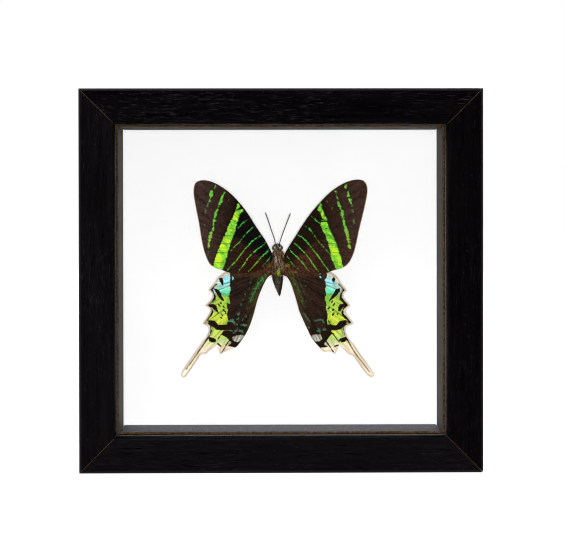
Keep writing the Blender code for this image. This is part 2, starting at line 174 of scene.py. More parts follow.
def inside_any(uv, shapes, measure):
    """The greatest of several measures."""
    return np.max([measure(uv, shape) for shape in shapes], axis=0)


# Materials


class Shading:
    """One node material. Each method adds a node and returns its output socket."""

    def __init__(self, name):
        self.material = bpy.data.materials.new(name)
        self.material.use_nodes = True
        self.tree = self.material.node_tree
        self.shader = self.tree.nodes["Principled BSDF"]

    def put(self, socket, value):
        if isinstance(value, bpy.types.NodeSocket):
            self.tree.links.new(value, socket)
        else:
            socket.default_value = value

    def set(self, **values):
        """Sets the shader's inputs. An underscore in a name stands for a space."""
        for name, value in values.items():
            self.put(self.shader.inputs[name.replace("_", " ")], value)

    def add(self, kind, inputs, output=0, **settings):
        node = self.tree.nodes.new(kind)
        for name, value in settings.items():
            setattr(node, name, value)
        for name, value in inputs.items():
            self.put(node.inputs[name], value)
        return node.outputs[output]

    def math(self, operation, a, b=0.0):
        return self.add("ShaderNodeMath", {0: a, 1: b}, operation=operation)

    def times(self, first, *others):
        """The product of two or more values."""
        product = first
        for other in others:
            product = self.math("MULTIPLY", product, other)
        return product

    def plus(self, a, b):
        return self.math("ADD", a, b)

    def minus(self, a, b):
        return self.math("SUBTRACT", a, b)

    def over(self, a, b):
        return self.math("DIVIDE", a, b)

    def step(self, value, low, high):
        """0 below low, 1 above high, smooth between."""
        inputs = {"Value": value, "From Min": low, "From Max": high}
        return self.add("ShaderNodeMapRange", inputs, interpolation_type="SMOOTHSTEP")

    def mix(self, share, a, b):
        """Colour a where share is 0, and colour b where it is 1."""
        return self.add("ShaderNodeMix", {0: share, 6: a, 7: b}, 2, data_type="RGBA")

    def scale(self, colour, share):
        """A colour made darker below 1 and lighter above it."""
        return self.add("ShaderNodeVectorMath", {0: colour, 3: share}, operation="SCALE")

    def ramp(self, share, stops):
        """A colour from (place, colour) stops."""
        node = self.tree.nodes.new("ShaderNodeValToRGB")
        marks = node.color_ramp.elements
        while len(marks) < len(stops):
            marks.new(0.5)
        for mark, (place, colour) in zip(marks, stops):
            mark.position = place
            mark.color = colour
        self.put(node.inputs[0], share)
        return node.outputs[0]

    def attribute(self, name):
        return self.add("ShaderNodeAttribute", {}, 2, attribute_name=name)

    def position(self):
        return self.add("ShaderNodeNewGeometry", {})

    def axis(self, name):
        """One world coordinate of the shaded point, in metres."""
        return self.add("ShaderNodeSeparateXYZ", {0: self.position()}, "XYZ".index(name))

    def stretched(self, scale, shift=(0, 0, 0)):
        """World position in metres, times one scale or a scale for each axis."""
        scale = (scale,) * 3 if isinstance(scale, int) else scale
        inputs = {"Vector": self.position(), "Location": shift, "Scale": scale}
        return self.add("ShaderNodeMapping", inputs)

    def noise(self, vector, detail=3.0, roughness=0.55):
        inputs = {"Vector": vector, "Scale": 1.0, "Detail": detail, "Roughness": roughness}
        return self.add("ShaderNodeTexNoise", inputs)

    def rays(self, per_radian, per_millimetre):
        """Streaks that fan out from a wing's root."""
        turn = self.times(self.attribute("angle"), per_radian)
        out = self.times(self.attribute("reach"), per_millimetre)
        inputs = {"X": turn, "Y": out, "Z": self.attribute("hind")}
        return self.noise(self.add("ShaderNodeCombineXYZ", inputs), detail=3, roughness=0.6)

    def cells(self, vector):
        return self.add("ShaderNodeTexVoronoi", {"Vector": vector, "Scale": 1.0})

    def bump(self, height, strength, distance):
        inputs = {"Height": height, "Strength": strength, "Distance": distance}
        self.put(self.shader.inputs["Normal"], self.add("ShaderNodeBump", inputs))


# For each rail: the axis of its grain, the seed of its noise, the strength of its scuffs and
# painted glints, and how much paler its stain is painted, as painted light for its side, in steps
# of 1/255
RAILS = {
    "rail_top": ("X", 1.0, 0.42, -2),
    "rail_bottom": ("X", 4.0, 0.15, 4),
    "rail_left": ("Z", 7.0, 0.26, 2),
    "rail_right": ("Z", 9.0, 0.12, -2),
}


def wood_material(name, grain_axis, seed, scuff_glint_strength, lift):
    """Open-grained wood, stained black, with scuffs and painted glints along the grain and painted
    highlights along the outer arrises. Inside the opening it is dull and dead black, with a painted
    reflection line along the glass."""
    s = Shading(name)

    def grain(stretch, shift, detail=3, along=110, across=1900):
        scale = [across * stretch] * 3
        scale["XYZ".index(grain_axis)] = along * stretch
        return s.noise(s.stretched(scale, (shift, seed, shift)), detail=detail, roughness=0.6)

    def outside(axis, middle, half, soft=0.25 * MM):
        """0 within half of the middle along one axis, 1 beyond it."""
        away = s.math("ABSOLUTE", s.minus(s.axis(axis), middle))
        return s.step(away, half - soft, half + soft)

    pores = grain(1.0, seed, 4)
    broad = grain(0.2, seed + 3)
    scuffs = grain(1.0, seed + 11, 4, 300, 3600)
    dust = s.noise(s.stretched(1300, (seed, seed, 0)), detail=2)
    patches = s.noise(s.stretched(45, (seed, 0, 0)), detail=2)
    open_pore = s.step(pores, 0.58, 0.70)
    # lift is painted light: it makes the bottom and left rails paler and the top and right darker,
    # by how light falls
    ground = s.ramp(broad, [
        (0.3, srgb(3 + lift, 2 + lift, 3 + lift)), (0.7, srgb(9 + lift, 7 + lift, 8 + lift)),
    ])
    threads = s.times(s.step(pores, 0.46, 0.32), 0.5)
    ground = s.mix(threads, ground, srgb(15 + lift, 13 + lift, 15 + lift))
    # Pale bluish flecks along the grain: partly scuffs, partly painted glints on the grain's ridges
    scuff_glints = s.times(s.step(scuffs, 0.54, 0.74), s.step(patches, 0.36, 0.58))
    ground = s.mix(s.times(scuff_glints, scuff_glint_strength), ground, srgb(64, 61, 67))
    ground = s.mix(s.times(s.step(dust, 0.68, 0.76), 0.45), ground, srgb(58, 58, 62))
    ground = s.mix(open_pore, ground, srgb(1, 1, 1))
    low, high = CAD_BOX
    middle = (low.z + high.z) / 2
    # Painted highlights on the frame's rounded outer edges: a soft paler band, and a flecked
    # brighter line at the very edge
    rim = s.math("MAXIMUM", outside("X", 0.0, high.x - 0.35 * MM),
                 outside("Z", middle, high.z - middle - 0.35 * MM))
    painted_rim_highlight = s.math("MAXIMUM", outside("X", 0.0, high.x - 0.8 * MM, 0.4 * MM),
                      outside("Z", middle, high.z - middle - 0.9 * MM, 0.4 * MM))
    ground = s.mix(s.times(painted_rim_highlight, 0.45), ground, srgb(48, 45, 50))
    ground = s.mix(s.times(rim, s.step(scuffs, 0.3, 0.6)), ground, srgb(66, 60, 62))
    beyond = s.math("MAXIMUM", outside("X", 0.0, OPENING_HALF_WIDTH + 0.1 * MM),
                    outside("Z", middle, OPENING_HALF_HEIGHT + 0.1 * MM))
    inside = s.minus(1.0, beyond)
    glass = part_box("glass_pane")[0].y
    # A painted reflection: a pale bluish line on the lip wall just in front of the glass
    by_glass = s.times(s.step(s.axis("Y"), glass - 3.5 * MM, glass - 2.8 * MM),
                       s.step(s.axis("Y"), glass - 1.0 * MM, glass - 1.6 * MM))
    painted_light = s.mix(s.step(dust, 0.3, 0.6), srgb(62, 61, 64), srgb(138, 138, 146))
    wall = s.mix(by_glass, srgb(1, 1, 1), painted_light)
    s.set(Base_Color=s.mix(inside, ground, wall))
    rough = s.plus(0.36, s.times(patches, 0.2))
    s.set(Roughness=s.plus(s.times(beyond, rough), s.times(inside, 1.0)))
    s.set(Specular_IOR_Level=0.08)
    s.bump(s.plus(s.times(open_pore, -1.0), s.times(pores, 0.4)), 0.55, 0.00012)
    return s.material


def mitre_material():
    s = Shading("bare_mitre_wood")
    fibre = s.noise(s.stretched((2500, 600, 2500)), detail=3)
    s.set(Base_Color=s.ramp(fibre, [(0.3, srgb(30, 22, 17)), (0.7, srgb(92, 72, 54))]))
    s.set(Roughness=0.7)
    s.bump(fibre, 0.3, 0.0001)
    return s.material


def spacer_material():
    """Dark strips, rubbed to brown along the front arris, with painted shade on the top strip and
    painted light on the bottom strip.
    """
    s = Shading("painted_spacer")
    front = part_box("spacer_left")[0].y
    streaks = s.noise(s.stretched((600, 2600, 600)), detail=3)
    rub = s.noise(s.stretched(900), detail=3)
    depth = s.minus(s.axis("Y"), front)
    worn = s.step(s.plus(depth, s.times(rub, 0.0007)), 0.0008, 0.0004)
    ground = s.ramp(streaks, [(0.3, srgb(34, 29, 25)), (0.7, srgb(57, 51, 46))])
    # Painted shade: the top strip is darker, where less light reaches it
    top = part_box("spacer_top")[0].z
    ground = s.mix(s.step(s.axis("Z"), top - 0.3 * MM, top), ground, srgb(16, 13, 12))
    # Painted light: the bottom strip's face is paler and bluer, as lit from above
    painted_light = s.step(s.axis("Z"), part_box("spacer_bottom")[1].z + 0.3 * MM,
                   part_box("spacer_bottom")[1].z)
    ground = s.mix(painted_light, ground, s.mix(s.step(rub, 0.3, 0.7), srgb(66, 66, 70), srgb(98, 98, 104)))
    brown = s.ramp(rub, [(0.35, srgb(40, 24, 10)), (0.65, srgb(92, 66, 36))])
    s.set(Base_Color=s.mix(worn, ground, brown))
    s.set(Roughness=0.7, Specular_IOR_Level=0.25)
    s.bump(streaks, 0.25, 0.0001)
    return s.material


def glass_material():
    s = Shading("picture_glass")
    waver = s.noise(s.stretched(25), detail=1)
    s.set(Base_Color=(1, 1, 1, 1), Roughness=0.0, IOR=1.45, Transmission_Weight=1.0)
    s.bump(waver, 0.03, 0.0002)
    return s.material


def board_material():
    s = Shading("white_mount_board")
    fibre = s.noise(s.stretched(1400), detail=4)
    broad = s.noise(s.stretched(20), detail=2)
    ground = s.ramp(broad, [(0.3, (0.885, 0.885, 0.885, 1)), (0.7, (0.905, 0.905, 0.903, 1))])
    s.set(Base_Color=s.mix(s.times(s.step(fibre, 0.6, 0.75), 0.03), ground, (0.78, 0.77, 0.75, 1)))
    s.set(Roughness=0.9, Specular_IOR_Level=0.2)
    s.bump(fibre, 0.08, 0.00004)
    return s.material


def hardboard_material():
    """Brown fibreboard with the screen pattern that pressing leaves on its rough side."""
    s = Shading("brown_hardboard")
    fibre = s.noise(s.stretched(900), detail=5, roughness=0.7)
    broad = s.noise(s.stretched(60), detail=3)
    weave = None
    for axis in ("X", "Z"):
        wave = s.math("SINE", s.times(s.axis(axis), 4200))
        weave = wave if weave is None else s.plus(weave, wave)
    tone = s.plus(s.times(fibre, 0.55), s.times(broad, 0.45))
    ground = s.ramp(tone, [(0.3, srgb(74, 48, 28)), (0.55, srgb(116, 80, 50)),
                           (0.8, srgb(150, 110, 72))])
    s.set(Base_Color=s.mix(s.times(s.step(weave, 0.2, 1.6), 0.35), ground, srgb(66, 43, 26)))
    s.set(Roughness=0.85)
    s.bump(s.plus(s.times(weave, 0.25), fibre), 0.5, 0.00025)
    return s.material


def steel_material():
    s = Shading("zinc_steel")
    brush = s.noise(s.stretched((300, 4000, 4000)), detail=3)
    spangle = s.cells(s.stretched(420))
    spots = s.step(s.noise(s.stretched(900), detail=3), 0.66, 0.74)
    zinc = s.ramp(s.plus(s.times(spangle, 0.5), s.times(brush, 0.5)),
                  [(0.2, (0.42, 0.42, 0.43, 1)), (0.8, (0.68, 0.68, 0.67, 1))])
    s.set(Base_Color=s.mix(spots, zinc, srgb(120, 84, 56)))
    s.set(Metallic=s.minus(1.0, s.times(spots, 0.8)))
    s.set(Roughness=s.plus(0.26, s.times(brush, 0.28)))
    s.bump(brush, 0.15, 0.00005)
    return s.material


def foam_material():
    s = Shading("closed_cell_foam")
    bubble = s.cells(s.stretched(3200))
    s.set(Base_Color=s.ramp(bubble, [(0.0, srgb(240, 239, 235)), (0.7, srgb(206, 204, 198))]))
    s.set(Roughness=0.85)
    s.bump(bubble, 0.5, 0.0002)
    return s.material


# Wing drawing. Strokes are lists of (u, v, width); shapes are lists of (u, v).


def thin(points, width):
    """A stroke of even width with a pointed start and end."""
    return [
        (u, v, width * (0.6 if i in (0, len(points) - 1) else 1)) for i, (u, v) in enumerate(points)
    ]


def across_band(rows):
    """A stroke down the middle of a band given as (v, left u, right u)."""
    return [((left + right) / 2, v, right - left) for v, left, right in rows]


FOREWING_LEFT_MAIN = [
    [(-15.4, 22.6, 0.3), (-15.4, 21.6, 1.1), (-15.8, 20.6, 1.0), (-16.0, 19.2, 1.2)],
    [(-13.4, 20.2, 0.3), (-14.4, 19.9, 1.1), (-15.4, 19.0, 1.6)],
    [
        (-16.0, 18.9, 1.6), (-16.2, 17.6, 2.0), (-17.0, 16.0, 2.1), (-17.5, 14.5, 2.6),
        (-18.1, 12.5, 3.0), (-19.1, 10.0, 3.1), (-20.3, 7.0, 3.3), (-21.2, 4.5, 3.6),
        (-22.1, 1.8, 4.1), (-22.7, -0.2, 4.1), (-23.0, -1.3, 3.6), (-23.1, -2.4, 2.8),
    ],
]
FOREWING_LEFT_OUTER = [
    [
        (-20.8, 27.1, 0.5), (-21.4, 25.3, 1.0), (-22.3, 23.0, 1.1), (-23.4, 20.5, 1.0),
        (-24.2, 18.0, 1.1), (-24.8, 15.5, 1.0), (-25.1, 13.4, 1.1), (-25.6, 11.8, 1.2),
        (-26.1, 10.2, 1.3), (-26.7, 8.0, 1.1), (-27.0, 5.6, 0.9),
    ],
    [(-24.4, 29.6, 0.7), (-24.5, 28.7, 0.9)],
    [(-25.7, 27.2, 1.1), (-25.9, 25.8, 1.2)],
    [(-26.6, 23.8, 0.9), (-27.1, 22.6, 1.0)],
]
FOREWING_RIGHT_MAIN = [
    [(16.3, 22.6, 0.3), (16.2, 21.6, 1.0), (15.8, 20.6, 1.4), (16.2, 20.0, 1.3)],
    [(16.2, 20.4, 1.2), (16.9, 18.8, 1.2), (17.5, 17.5, 1.2), (18.3, 16.3, 1.1)],
    across_band([
        (15.2, 16.3, 18.6), (13.5, 16.7, 19.3), (11.0, 18.0, 20.4), (9.0, 18.7, 21.4),
        (7.0, 19.4, 22.3), (5.0, 19.9, 23.0), (2.8, 20.3, 23.6), (0.5, 21.1, 24.3),
        (-1.2, 21.8, 24.6), (-2.3, 22.5, 24.2),
    ]),
]
FOREWING_RIGHT_OUTER = [
    [
        (21.9, 27.1, 0.7), (22.7, 25.2, 1.0), (23.3, 23.0, 1.1), (24.0, 20.8, 1.0),
        (24.8, 18.0, 1.2), (25.2, 15.5, 1.1), (25.8, 13.3, 1.2), (26.2, 11.5, 1.3),
        (26.8, 9.8, 1.3), (27.2, 7.5, 1.1), (27.3, 5.6, 0.8),
    ],
    [(25.9, 29.5, 0.9), (25.9, 28.8, 1.0)],
    [(26.7, 27.2, 1.0), (26.9, 25.8, 1.1)],
    [(27.7, 24.0, 1.0), (28.0, 22.7, 1.1)],
]
FOREWING_LEFT_LINES = [
    thin([(-10.9, 17.1), (-12.6, 16.0), (-14.3, 14.6), (-15.7, 13.1)], 0.55),
    thin([(-8.9, 14.2), (-10.4, 13.0), (-12.1, 11.4), (-13.6, 9.7), (-15.2, 7.7),
          (-17.0, 6.0), (-18.7, 3.9)], 0.55),
    thin([(-6.4, 10.5), (-8.5, 9.4), (-10.2, 8.0), (-12.2, 5.9), (-14.2, 3.4), (-15.8, 1.2),
          (-17.0, -0.1), (-19.9, -3.3)], 0.6),
    thin([(-4.9, 7.8), (-6.6, 6.2), (-8.4, 4.9), (-10.3, 3.2), (-11.8, 1.6), (-12.9, -0.2),
          (-14.2, -2.0), (-15.7, -3.7)], 0.6),
    thin([(-3.7, 5.5), (-4.3, 4.1), (-5.7, 2.9), (-7.4, 1.1), (-9.0, -0.8), (-11.8, -3.9)], 0.6),
    thin([(-2.5, 3.0), (-3.5, 1.6), (-4.6, 0.3), (-6.4, -1.9)], 0.45),
]
FOREWING_RIGHT_LINES = [
    thin([(12.5, 17.8), (14.0, 16.7), (15.3, 15.5), (16.6, 15.0)], 0.55),
    thin([(9.8, 14.3), (11.6, 13.2), (13.1, 11.4), (14.7, 9.1), (16.6, 6.8), (18.2, 5.0),
          (20.0, 3.3)], 0.5),
    thin([(7.2, 10.7), (9.0, 9.7), (11.0, 7.8), (13.0, 5.4), (14.7, 3.2), (16.4, 0.8),
          (17.9, -1.3), (19.5, -3.4)], 0.6),
    thin([(5.3, 7.9), (7.0, 6.7), (9.0, 4.8), (11.0, 2.7), (12.8, 0.1), (14.3, -2.1),
          (15.9, -3.9)], 0.6),
    thin([(4.0, 6.1), (4.9, 4.3), (6.6, 2.7), (8.6, 0.6), (10.4, -1.6), (12.1, -3.8)], 0.55),
    thin([(2.7, 3.3), (3.9, 1.6), (5.3, -0.4), (7.4, -2.3), (8.2, -3.2)], 0.45),
]
# Where the main band turns from green to yellow.
FOREWING_LEFT_GLOW = [
    [(-16.4, 18.6, 1.6), (-16.3, 17.4, 1.8)], [(-19.4, 12.9, 1.2), (-18.4, 12.5, 1.4)],
    [(-20.8, 9.4, 1.9), (-19.4, 8.4, 1.6)], [(-22.0, 6.0, 2.2), (-20.8, 5.2, 2.2)],
    [(-22.7, 3.0, 1.6), (-23.4, 0.6, 2.6), (-22.4, -1.2, 1.2)],
]
FOREWING_RIGHT_GLOW = [
    [(17.0, 18.4, 0.8), (17.4, 17.8, 0.6)], [(20.4, 8.2, 0.8), (20.9, 7.2, 1.0)],
    [(21.0, 5.2, 2.2), (22.2, 3.8, 2.4)], [(23.0, 1.4, 1.8), (23.5, -0.4, 1.6)],
]
FOREWING_LEFT_FAINT = [
    thin([(-27.2, 22.2), (-27.5, 21.4)], 0.8),
    thin([(-27.8, 20.2), (-27.9, 18.6)], 0.8),
    thin([(-28.3, 14.8), (-28.3, 14.3)], 0.6),
    thin([(-26.8, 3.9), (-27.0, 2.6)], 0.6),
    thin([(-19.0, 24.1), (-19.1, 23.7)], 0.6),
    thin([(-21.6, 19.6), (-21.6, 18.8)], 0.5),
]
FOREWING_RIGHT_FAINT = [
    thin([(28.4, 22.0), (28.3, 21.2)], 0.8),
    thin([(28.5, 20.2), (28.9, 19.1)], 0.7),
    thin([(28.9, 16.3), (28.9, 15.6)], 0.8),
    thin([(29.1, 15.2), (29.1, 14.9)], 0.5),
    thin([(18.6, 23.6), (18.7, 23.3)], 0.5),
    thin([(20.8, 21.0), (20.8, 20.7)], 0.4),
]
# Dark lines where veins cut the main band
FOREWING_LEFT_CUTS = [[(-14.9, 20.9, 0.6), (-15.4, 20.5, 0.5), (-16.1, 20.2, 0.4)]]
FOREWING_RIGHT_CUTS = [
    [(16.0, 15.4, 0.2), (17.2, 15.9, 0.45), (18.7, 15.9, 0.4)],
    [(18.3, 13.1, 0.3), (18.5, 13.0, 0.3)],
]

# Veins of a left forewing, drawn on to the right one by mirroring.
FOREWING_VEINS = [
    [(-2.7, 3.2), (-9.0, 12.2), (-16.2, 20.4), (-22.5, 26.6), (-29.5, 31.0)],
    [(-2.7, 2.6), (-8.5, 9.3), (-13.5, 14.0), (-16.4, 18.0), (-24.5, 25.0), (-31.8, 29.6)],
    [(-13.5, 14.0), (-17.0, 16.1), (-24.5, 20.6), (-32.4, 25.0)],
    [(-13.2, 12.5), (-18.1, 13.0), (-25.3, 16.0), (-31.8, 20.0)],
    [(-12.8, 10.5), (-19.2, 10.4), (-26.0, 12.2), (-30.8, 15.0)],
    [(-12.4, 8.2), (-20.0, 7.3), (-26.5, 8.3), (-29.9, 10.0)],
    [(-2.7, 1.4), (-8.5, 3.7), (-12.4, 8.2), (-13.5, 14.0)],
    [(-11.5, 6.2), (-15.5, 4.3), (-21.0, 3.8), (-26.5, 4.0), (-28.8, 4.8)],
    [(-8.5, 3.7), (-14.0, 1.4), (-21.9, 0.1), (-27.4, 0.6)],
    [(-2.9, 0.0), (-10.0, -1.4), (-17.5, -2.7), (-22.0, -2.8)],
]
HINDWING_VEINS = [
    [(-2.7, -2.6), (-9.0, -4.2), (-17.0, -5.4), (-21.8, -8.4), (-26.3, -10.5)],
    [(-9.0, -6.4), (-16.0, -9.2), (-21.0, -12.4), (-27.4, -16.5)],
    [(-9.0, -6.4), (-13.5, -12.0), (-19.5, -17.3), (-28.4, -23.2)],
    [(-2.7, -3.4), (-9.0, -6.4), (-12.0, -14.0), (-17.5, -22.0), (-23.5, -28.0), (-29.0, -33.5)],
    [(-7.0, -7.4), (-11.0, -16.0), (-15.8, -25.0), (-19.0, -30.2), (-22.5, -35.0)],
    [(-2.7, -3.8), (-7.0, -7.4), (-10.0, -16.0), (-13.0, -25.5), (-16.4, -32.2)],
]

HINDWING_LEFT_BAND = [
    (-22.6, -4.6), (-18.9, -4.0), (-18.7, -5.1), (-18.6, -7.0), (-18.7, -9.0), (-18.5, -10.7),
    (-18.9, -12.0), (-19.1, -13.0), (-18.8, -14.5), (-18.7, -15.8), (-19.1, -16.0),
    (-19.7, -15.6), (-20.0, -15.9), (-19.8, -17.0), (-19.5, -18.2), (-19.6, -19.3),
    (-20.1, -19.9), (-19.8, -20.7), (-19.5, -21.6), (-19.4, -22.6), (-19.9, -23.9),
    (-23.2, -24.0), (-24.2, -22.8), (-29.0, -23.6), (-26.2, -20.0), (-26.0, -17.6),
    (-28.0, -16.5), (-25.4, -13.6), (-25.2, -12.0), (-26.4, -10.4), (-23.9, -8.0),
]
HINDWING_RIGHT_BAND = [
    (22.6, -4.7), (19.0, -3.6), (18.9, -4.6), (18.7, -5.9), (18.1, -6.7), (18.3, -7.7),
    (18.4, -8.9), (18.1, -9.7), (18.1, -10.9), (18.4, -11.5), (18.4, -12.6), (18.0, -13.5),
    (17.9, -14.3), (18.3, -15.2), (18.4, -16.9), (18.4, -18.3), (18.7, -19.0), (19.1, -20.2),
    (18.9, -20.9), (18.7, -22.0), (18.7, -23.2), (19.0, -24.1), (20.0, -23.9), (20.9, -24.3),
    (22.3, -24.3), (23.0, -23.6), (23.4, -22.8), (28.7, -23.6), (25.9, -20.6), (25.6, -17.6),
    (27.4, -16.7), (24.9, -13.6), (24.7, -12.0), (25.9, -10.6), (23.6, -8.2),
]
HINDWING_LEFT_CREAM = [
    (-26.4, -24.2), (-25.2, -24.7), (-24.0, -25.9), (-20.8, -26.2), (-20.9, -27.0), (-18.6, -30.0),
    (-17.2, -31.6), (-19.4, -32.1), (-16.4, -32.6), (-22.6, -36.2), (-24.0, -32.6),
    (-27.8, -36.0), (-30.4, -36.4), (-36.0, -45.0), (-38.6, -43.6), (-28.0, -28.4), (-27.2, -26.8),
]
HINDWING_RIGHT_CREAM = [
    (25.9, -24.3), (25.2, -24.8), (23.9, -25.9), (20.2, -26.2), (20.9, -27.2), (18.6, -30.0),
    (17.6, -31.4), (19.3, -32.6), (15.6, -32.8), (17.6, -35.4), (22.2, -36.4), (23.8, -32.8),
    (27.0, -36.6), (29.4, -37.4), (35.0, -45.4), (38.0, -43.8), (27.0, -28.4), (26.4, -26.8),
]
HINDWING_LEFT_PALE = [
    [(-17.8, -28.8), (-17.3, -28.4), (-16.2, -28.25), (-14.8, -28.1), (-12.6, -28.3),
     (-14.1, -29.5), (-14.95, -30.2), (-15.65, -30.6), (-16.6, -30.6), (-17.4, -30.1)],
    [(-19.4, -31.6), (-18.6, -30.6), (-18.0, -31.1), (-18.5, -31.2), (-19.1, -31.9)],
]
HINDWING_RIGHT_PALE = [
    [(12.4, -28.8), (13.3, -28.1), (14.2, -28.0), (15.2, -27.9), (16.1, -27.7), (16.7, -28.6),
     (17.0, -29.5), (16.3, -30.3), (15.0, -30.6), (14.0, -30.6)],
    [(17.8, -31.0), (18.4, -30.9), (19.0, -32.0), (17.8, -32.0)],
]

HINDWING_LEFT_BLACK_SHAPES = [
    [(-23.0, -6.0), (-21.4, -5.9), (-21.3, -7.4), (-21.2, -8.9), (-21.6, -8.7), (-22.4, -7.4)],
    [(-24.9, -10.0), (-23.85, -10.1), (-23.0, -10.5), (-22.5, -11.2), (-22.1, -12.0),
     (-21.9, -12.9), (-20.8, -14.6), (-21.0, -15.0), (-22.3, -14.2), (-23.5, -12.7),
     (-24.3, -11.2)],
    [(-27.1, -16.1), (-25.0, -16.0), (-24.3, -16.3), (-23.8, -17.0), (-23.5, -18.0),
     (-23.0, -19.5), (-23.1, -19.8), (-24.3, -18.6), (-25.8, -17.3), (-27.3, -16.8)],
    [(-27.1, -22.3), (-24.7, -22.3), (-24.3, -22.8), (-23.3, -24.1), (-18.2, -24.0),
     (-17.2, -25.0), (-18.6, -25.9), (-21.8, -26.1), (-24.1, -25.8), (-24.5, -25.1),
     (-25.2, -24.7), (-26.1, -24.3), (-26.9, -23.5)],
    [(-27.2, -28.6), (-26.0, -28.8), (-24.2, -29.4), (-23.9, -29.9), (-24.05, -30.5),
     (-25.0, -30.8), (-26.7, -30.4), (-26.9, -29.7)],
    [(-23.75, -31.2), (-23.3, -31.0), (-22.0, -32.0), (-21.9, -32.3), (-22.3, -32.5),
     (-23.6, -31.5)],
    [(-21.4, -26.5), (-20.1, -26.3), (-18.3, -26.5), (-17.6, -26.9), (-17.45, -27.7),
     (-18.1, -29.3), (-17.8, -30.0), (-18.2, -30.6), (-18.9, -30.2), (-20.1, -28.8),
     (-21.8, -27.9)],
    [(-17.9, -30.0), (-16.6, -30.7), (-15.4, -30.8), (-14.0, -30.0), (-14.6, -31.2),
     (-16.2, -32.8), (-17.3, -32.7), (-19.5, -32.1), (-18.4, -31.4), (-18.2, -30.6)],
]
HINDWING_RIGHT_BLACK_SHAPES = [
    [(20.9, -6.1), (21.4, -5.8), (21.9, -6.4), (21.7, -7.4), (21.4, -7.7), (20.7, -7.1)],
    [(21.9, -10.6), (22.5, -10.2), (23.2, -10.0), (24.0, -10.1), (23.6, -11.4), (22.6, -12.6),
     (21.4, -13.7), (19.9, -15.0), (19.6, -14.8), (20.4, -13.3), (21.4, -12.0)],
    [(26.6, -16.9), (26.0, -16.2), (24.9, -16.0), (24.0, -16.25), (23.4, -16.6), (23.1, -17.3),
     (23.0, -18.3), (23.2, -19.0), (24.0, -18.9), (24.2, -18.2), (24.9, -17.3)],
    [(18.7, -24.0), (20.0, -24.0), (20.9, -24.4), (22.3, -24.4), (23.0, -23.7), (23.4, -22.8),
     (24.0, -22.5), (26.0, -22.2), (27.7, -23.4), (26.6, -23.9), (25.2, -24.6), (23.8, -25.6),
     (22.8, -26.1), (20.4, -26.3), (18.4, -25.8)],
    [(23.3, -29.8), (24.0, -29.4), (25.7, -28.8), (26.4, -29.0), (26.5, -29.6), (26.2, -30.2),
     (25.2, -30.8), (24.5, -30.9), (23.4, -30.3)],
    [(21.4, -32.5), (21.8, -32.0), (23.3, -31.7), (23.2, -32.1), (22.0, -32.6)],
    [(19.7, -26.3), (20.8, -27.6), (19.8, -28.2), (19.4, -28.9), (18.4, -30.4), (17.6, -31.2),
     (17.6, -32.0), (18.7, -32.4), (18.4, -32.7), (16.1, -33.0), (15.6, -32.2), (14.2, -30.6),
     (16.1, -30.5), (17.0, -29.4), (16.5, -28.0), (16.6, -26.8)],
]
HINDWING_LEFT_BLACK_STROKES = [
    [(-23.8, -8.4, 0.4), (-24.6, -9.0, 0.7), (-25.3, -9.7, 0.9), (-25.7, -10.5, 0.8),
     (-25.1, -11.4, 0.55), (-24.8, -12.2, 0.5), (-24.5, -13.2, 0.8), (-24.7, -14.0, 1.0),
     (-25.6, -14.7, 0.9), (-26.6, -15.6, 0.9), (-27.2, -16.4, 0.8)],
    [(-26.6, -17.0, 0.4), (-25.8, -17.8, 0.5), (-25.5, -18.3, 0.5), (-25.5, -19.1, 0.8),
     (-25.9, -19.9, 0.9), (-26.6, -20.8, 0.8), (-27.3, -21.8, 0.9), (-28.0, -22.6, 0.8),
     (-28.4, -23.2, 0.6)],
    [(-26.1, -24.5, 0.4), (-26.0, -25.7, 0.36), (-26.1, -26.9, 0.36), (-26.4, -27.9, 0.4),
     (-27.2, -28.8, 0.5)],
    [(-27.2, -28.8, 0.5), (-28.2, -30.6, 0.42), (-29.7, -32.7, 0.4), (-31.6, -35.5, 0.34),
     (-33.7, -38.5, 0.3), (-35.6, -41.2, 0.2)],
    [(-21.4, -27.0, 0.4), (-22.4, -28.2, 0.36), (-23.4, -29.5, 0.24)],
    [(-18.9, -30.0, 0.45), (-20.0, -31.6, 0.4), (-21.0, -33.3, 0.36), (-22.4, -35.4, 0.4)],
    thin([(-22.1, -15.2), (-22.1, -15.8)], 0.75),
    thin([(-23.0, -16.2), (-22.4, -17.0)], 0.75),
    thin([(-21.4, -16.7), (-20.8, -17.5)], 0.6),
    thin([(-21.3, -18.2), (-20.6, -18.9)], 0.95),
    thin([(-22.1, -19.8), (-21.6, -20.4)], 0.7),
    thin([(-22.3, -21.1), (-21.7, -21.6)], 0.5),
    thin([(-20.4, -19.2), (-20.2, -19.6)], 0.6),
]
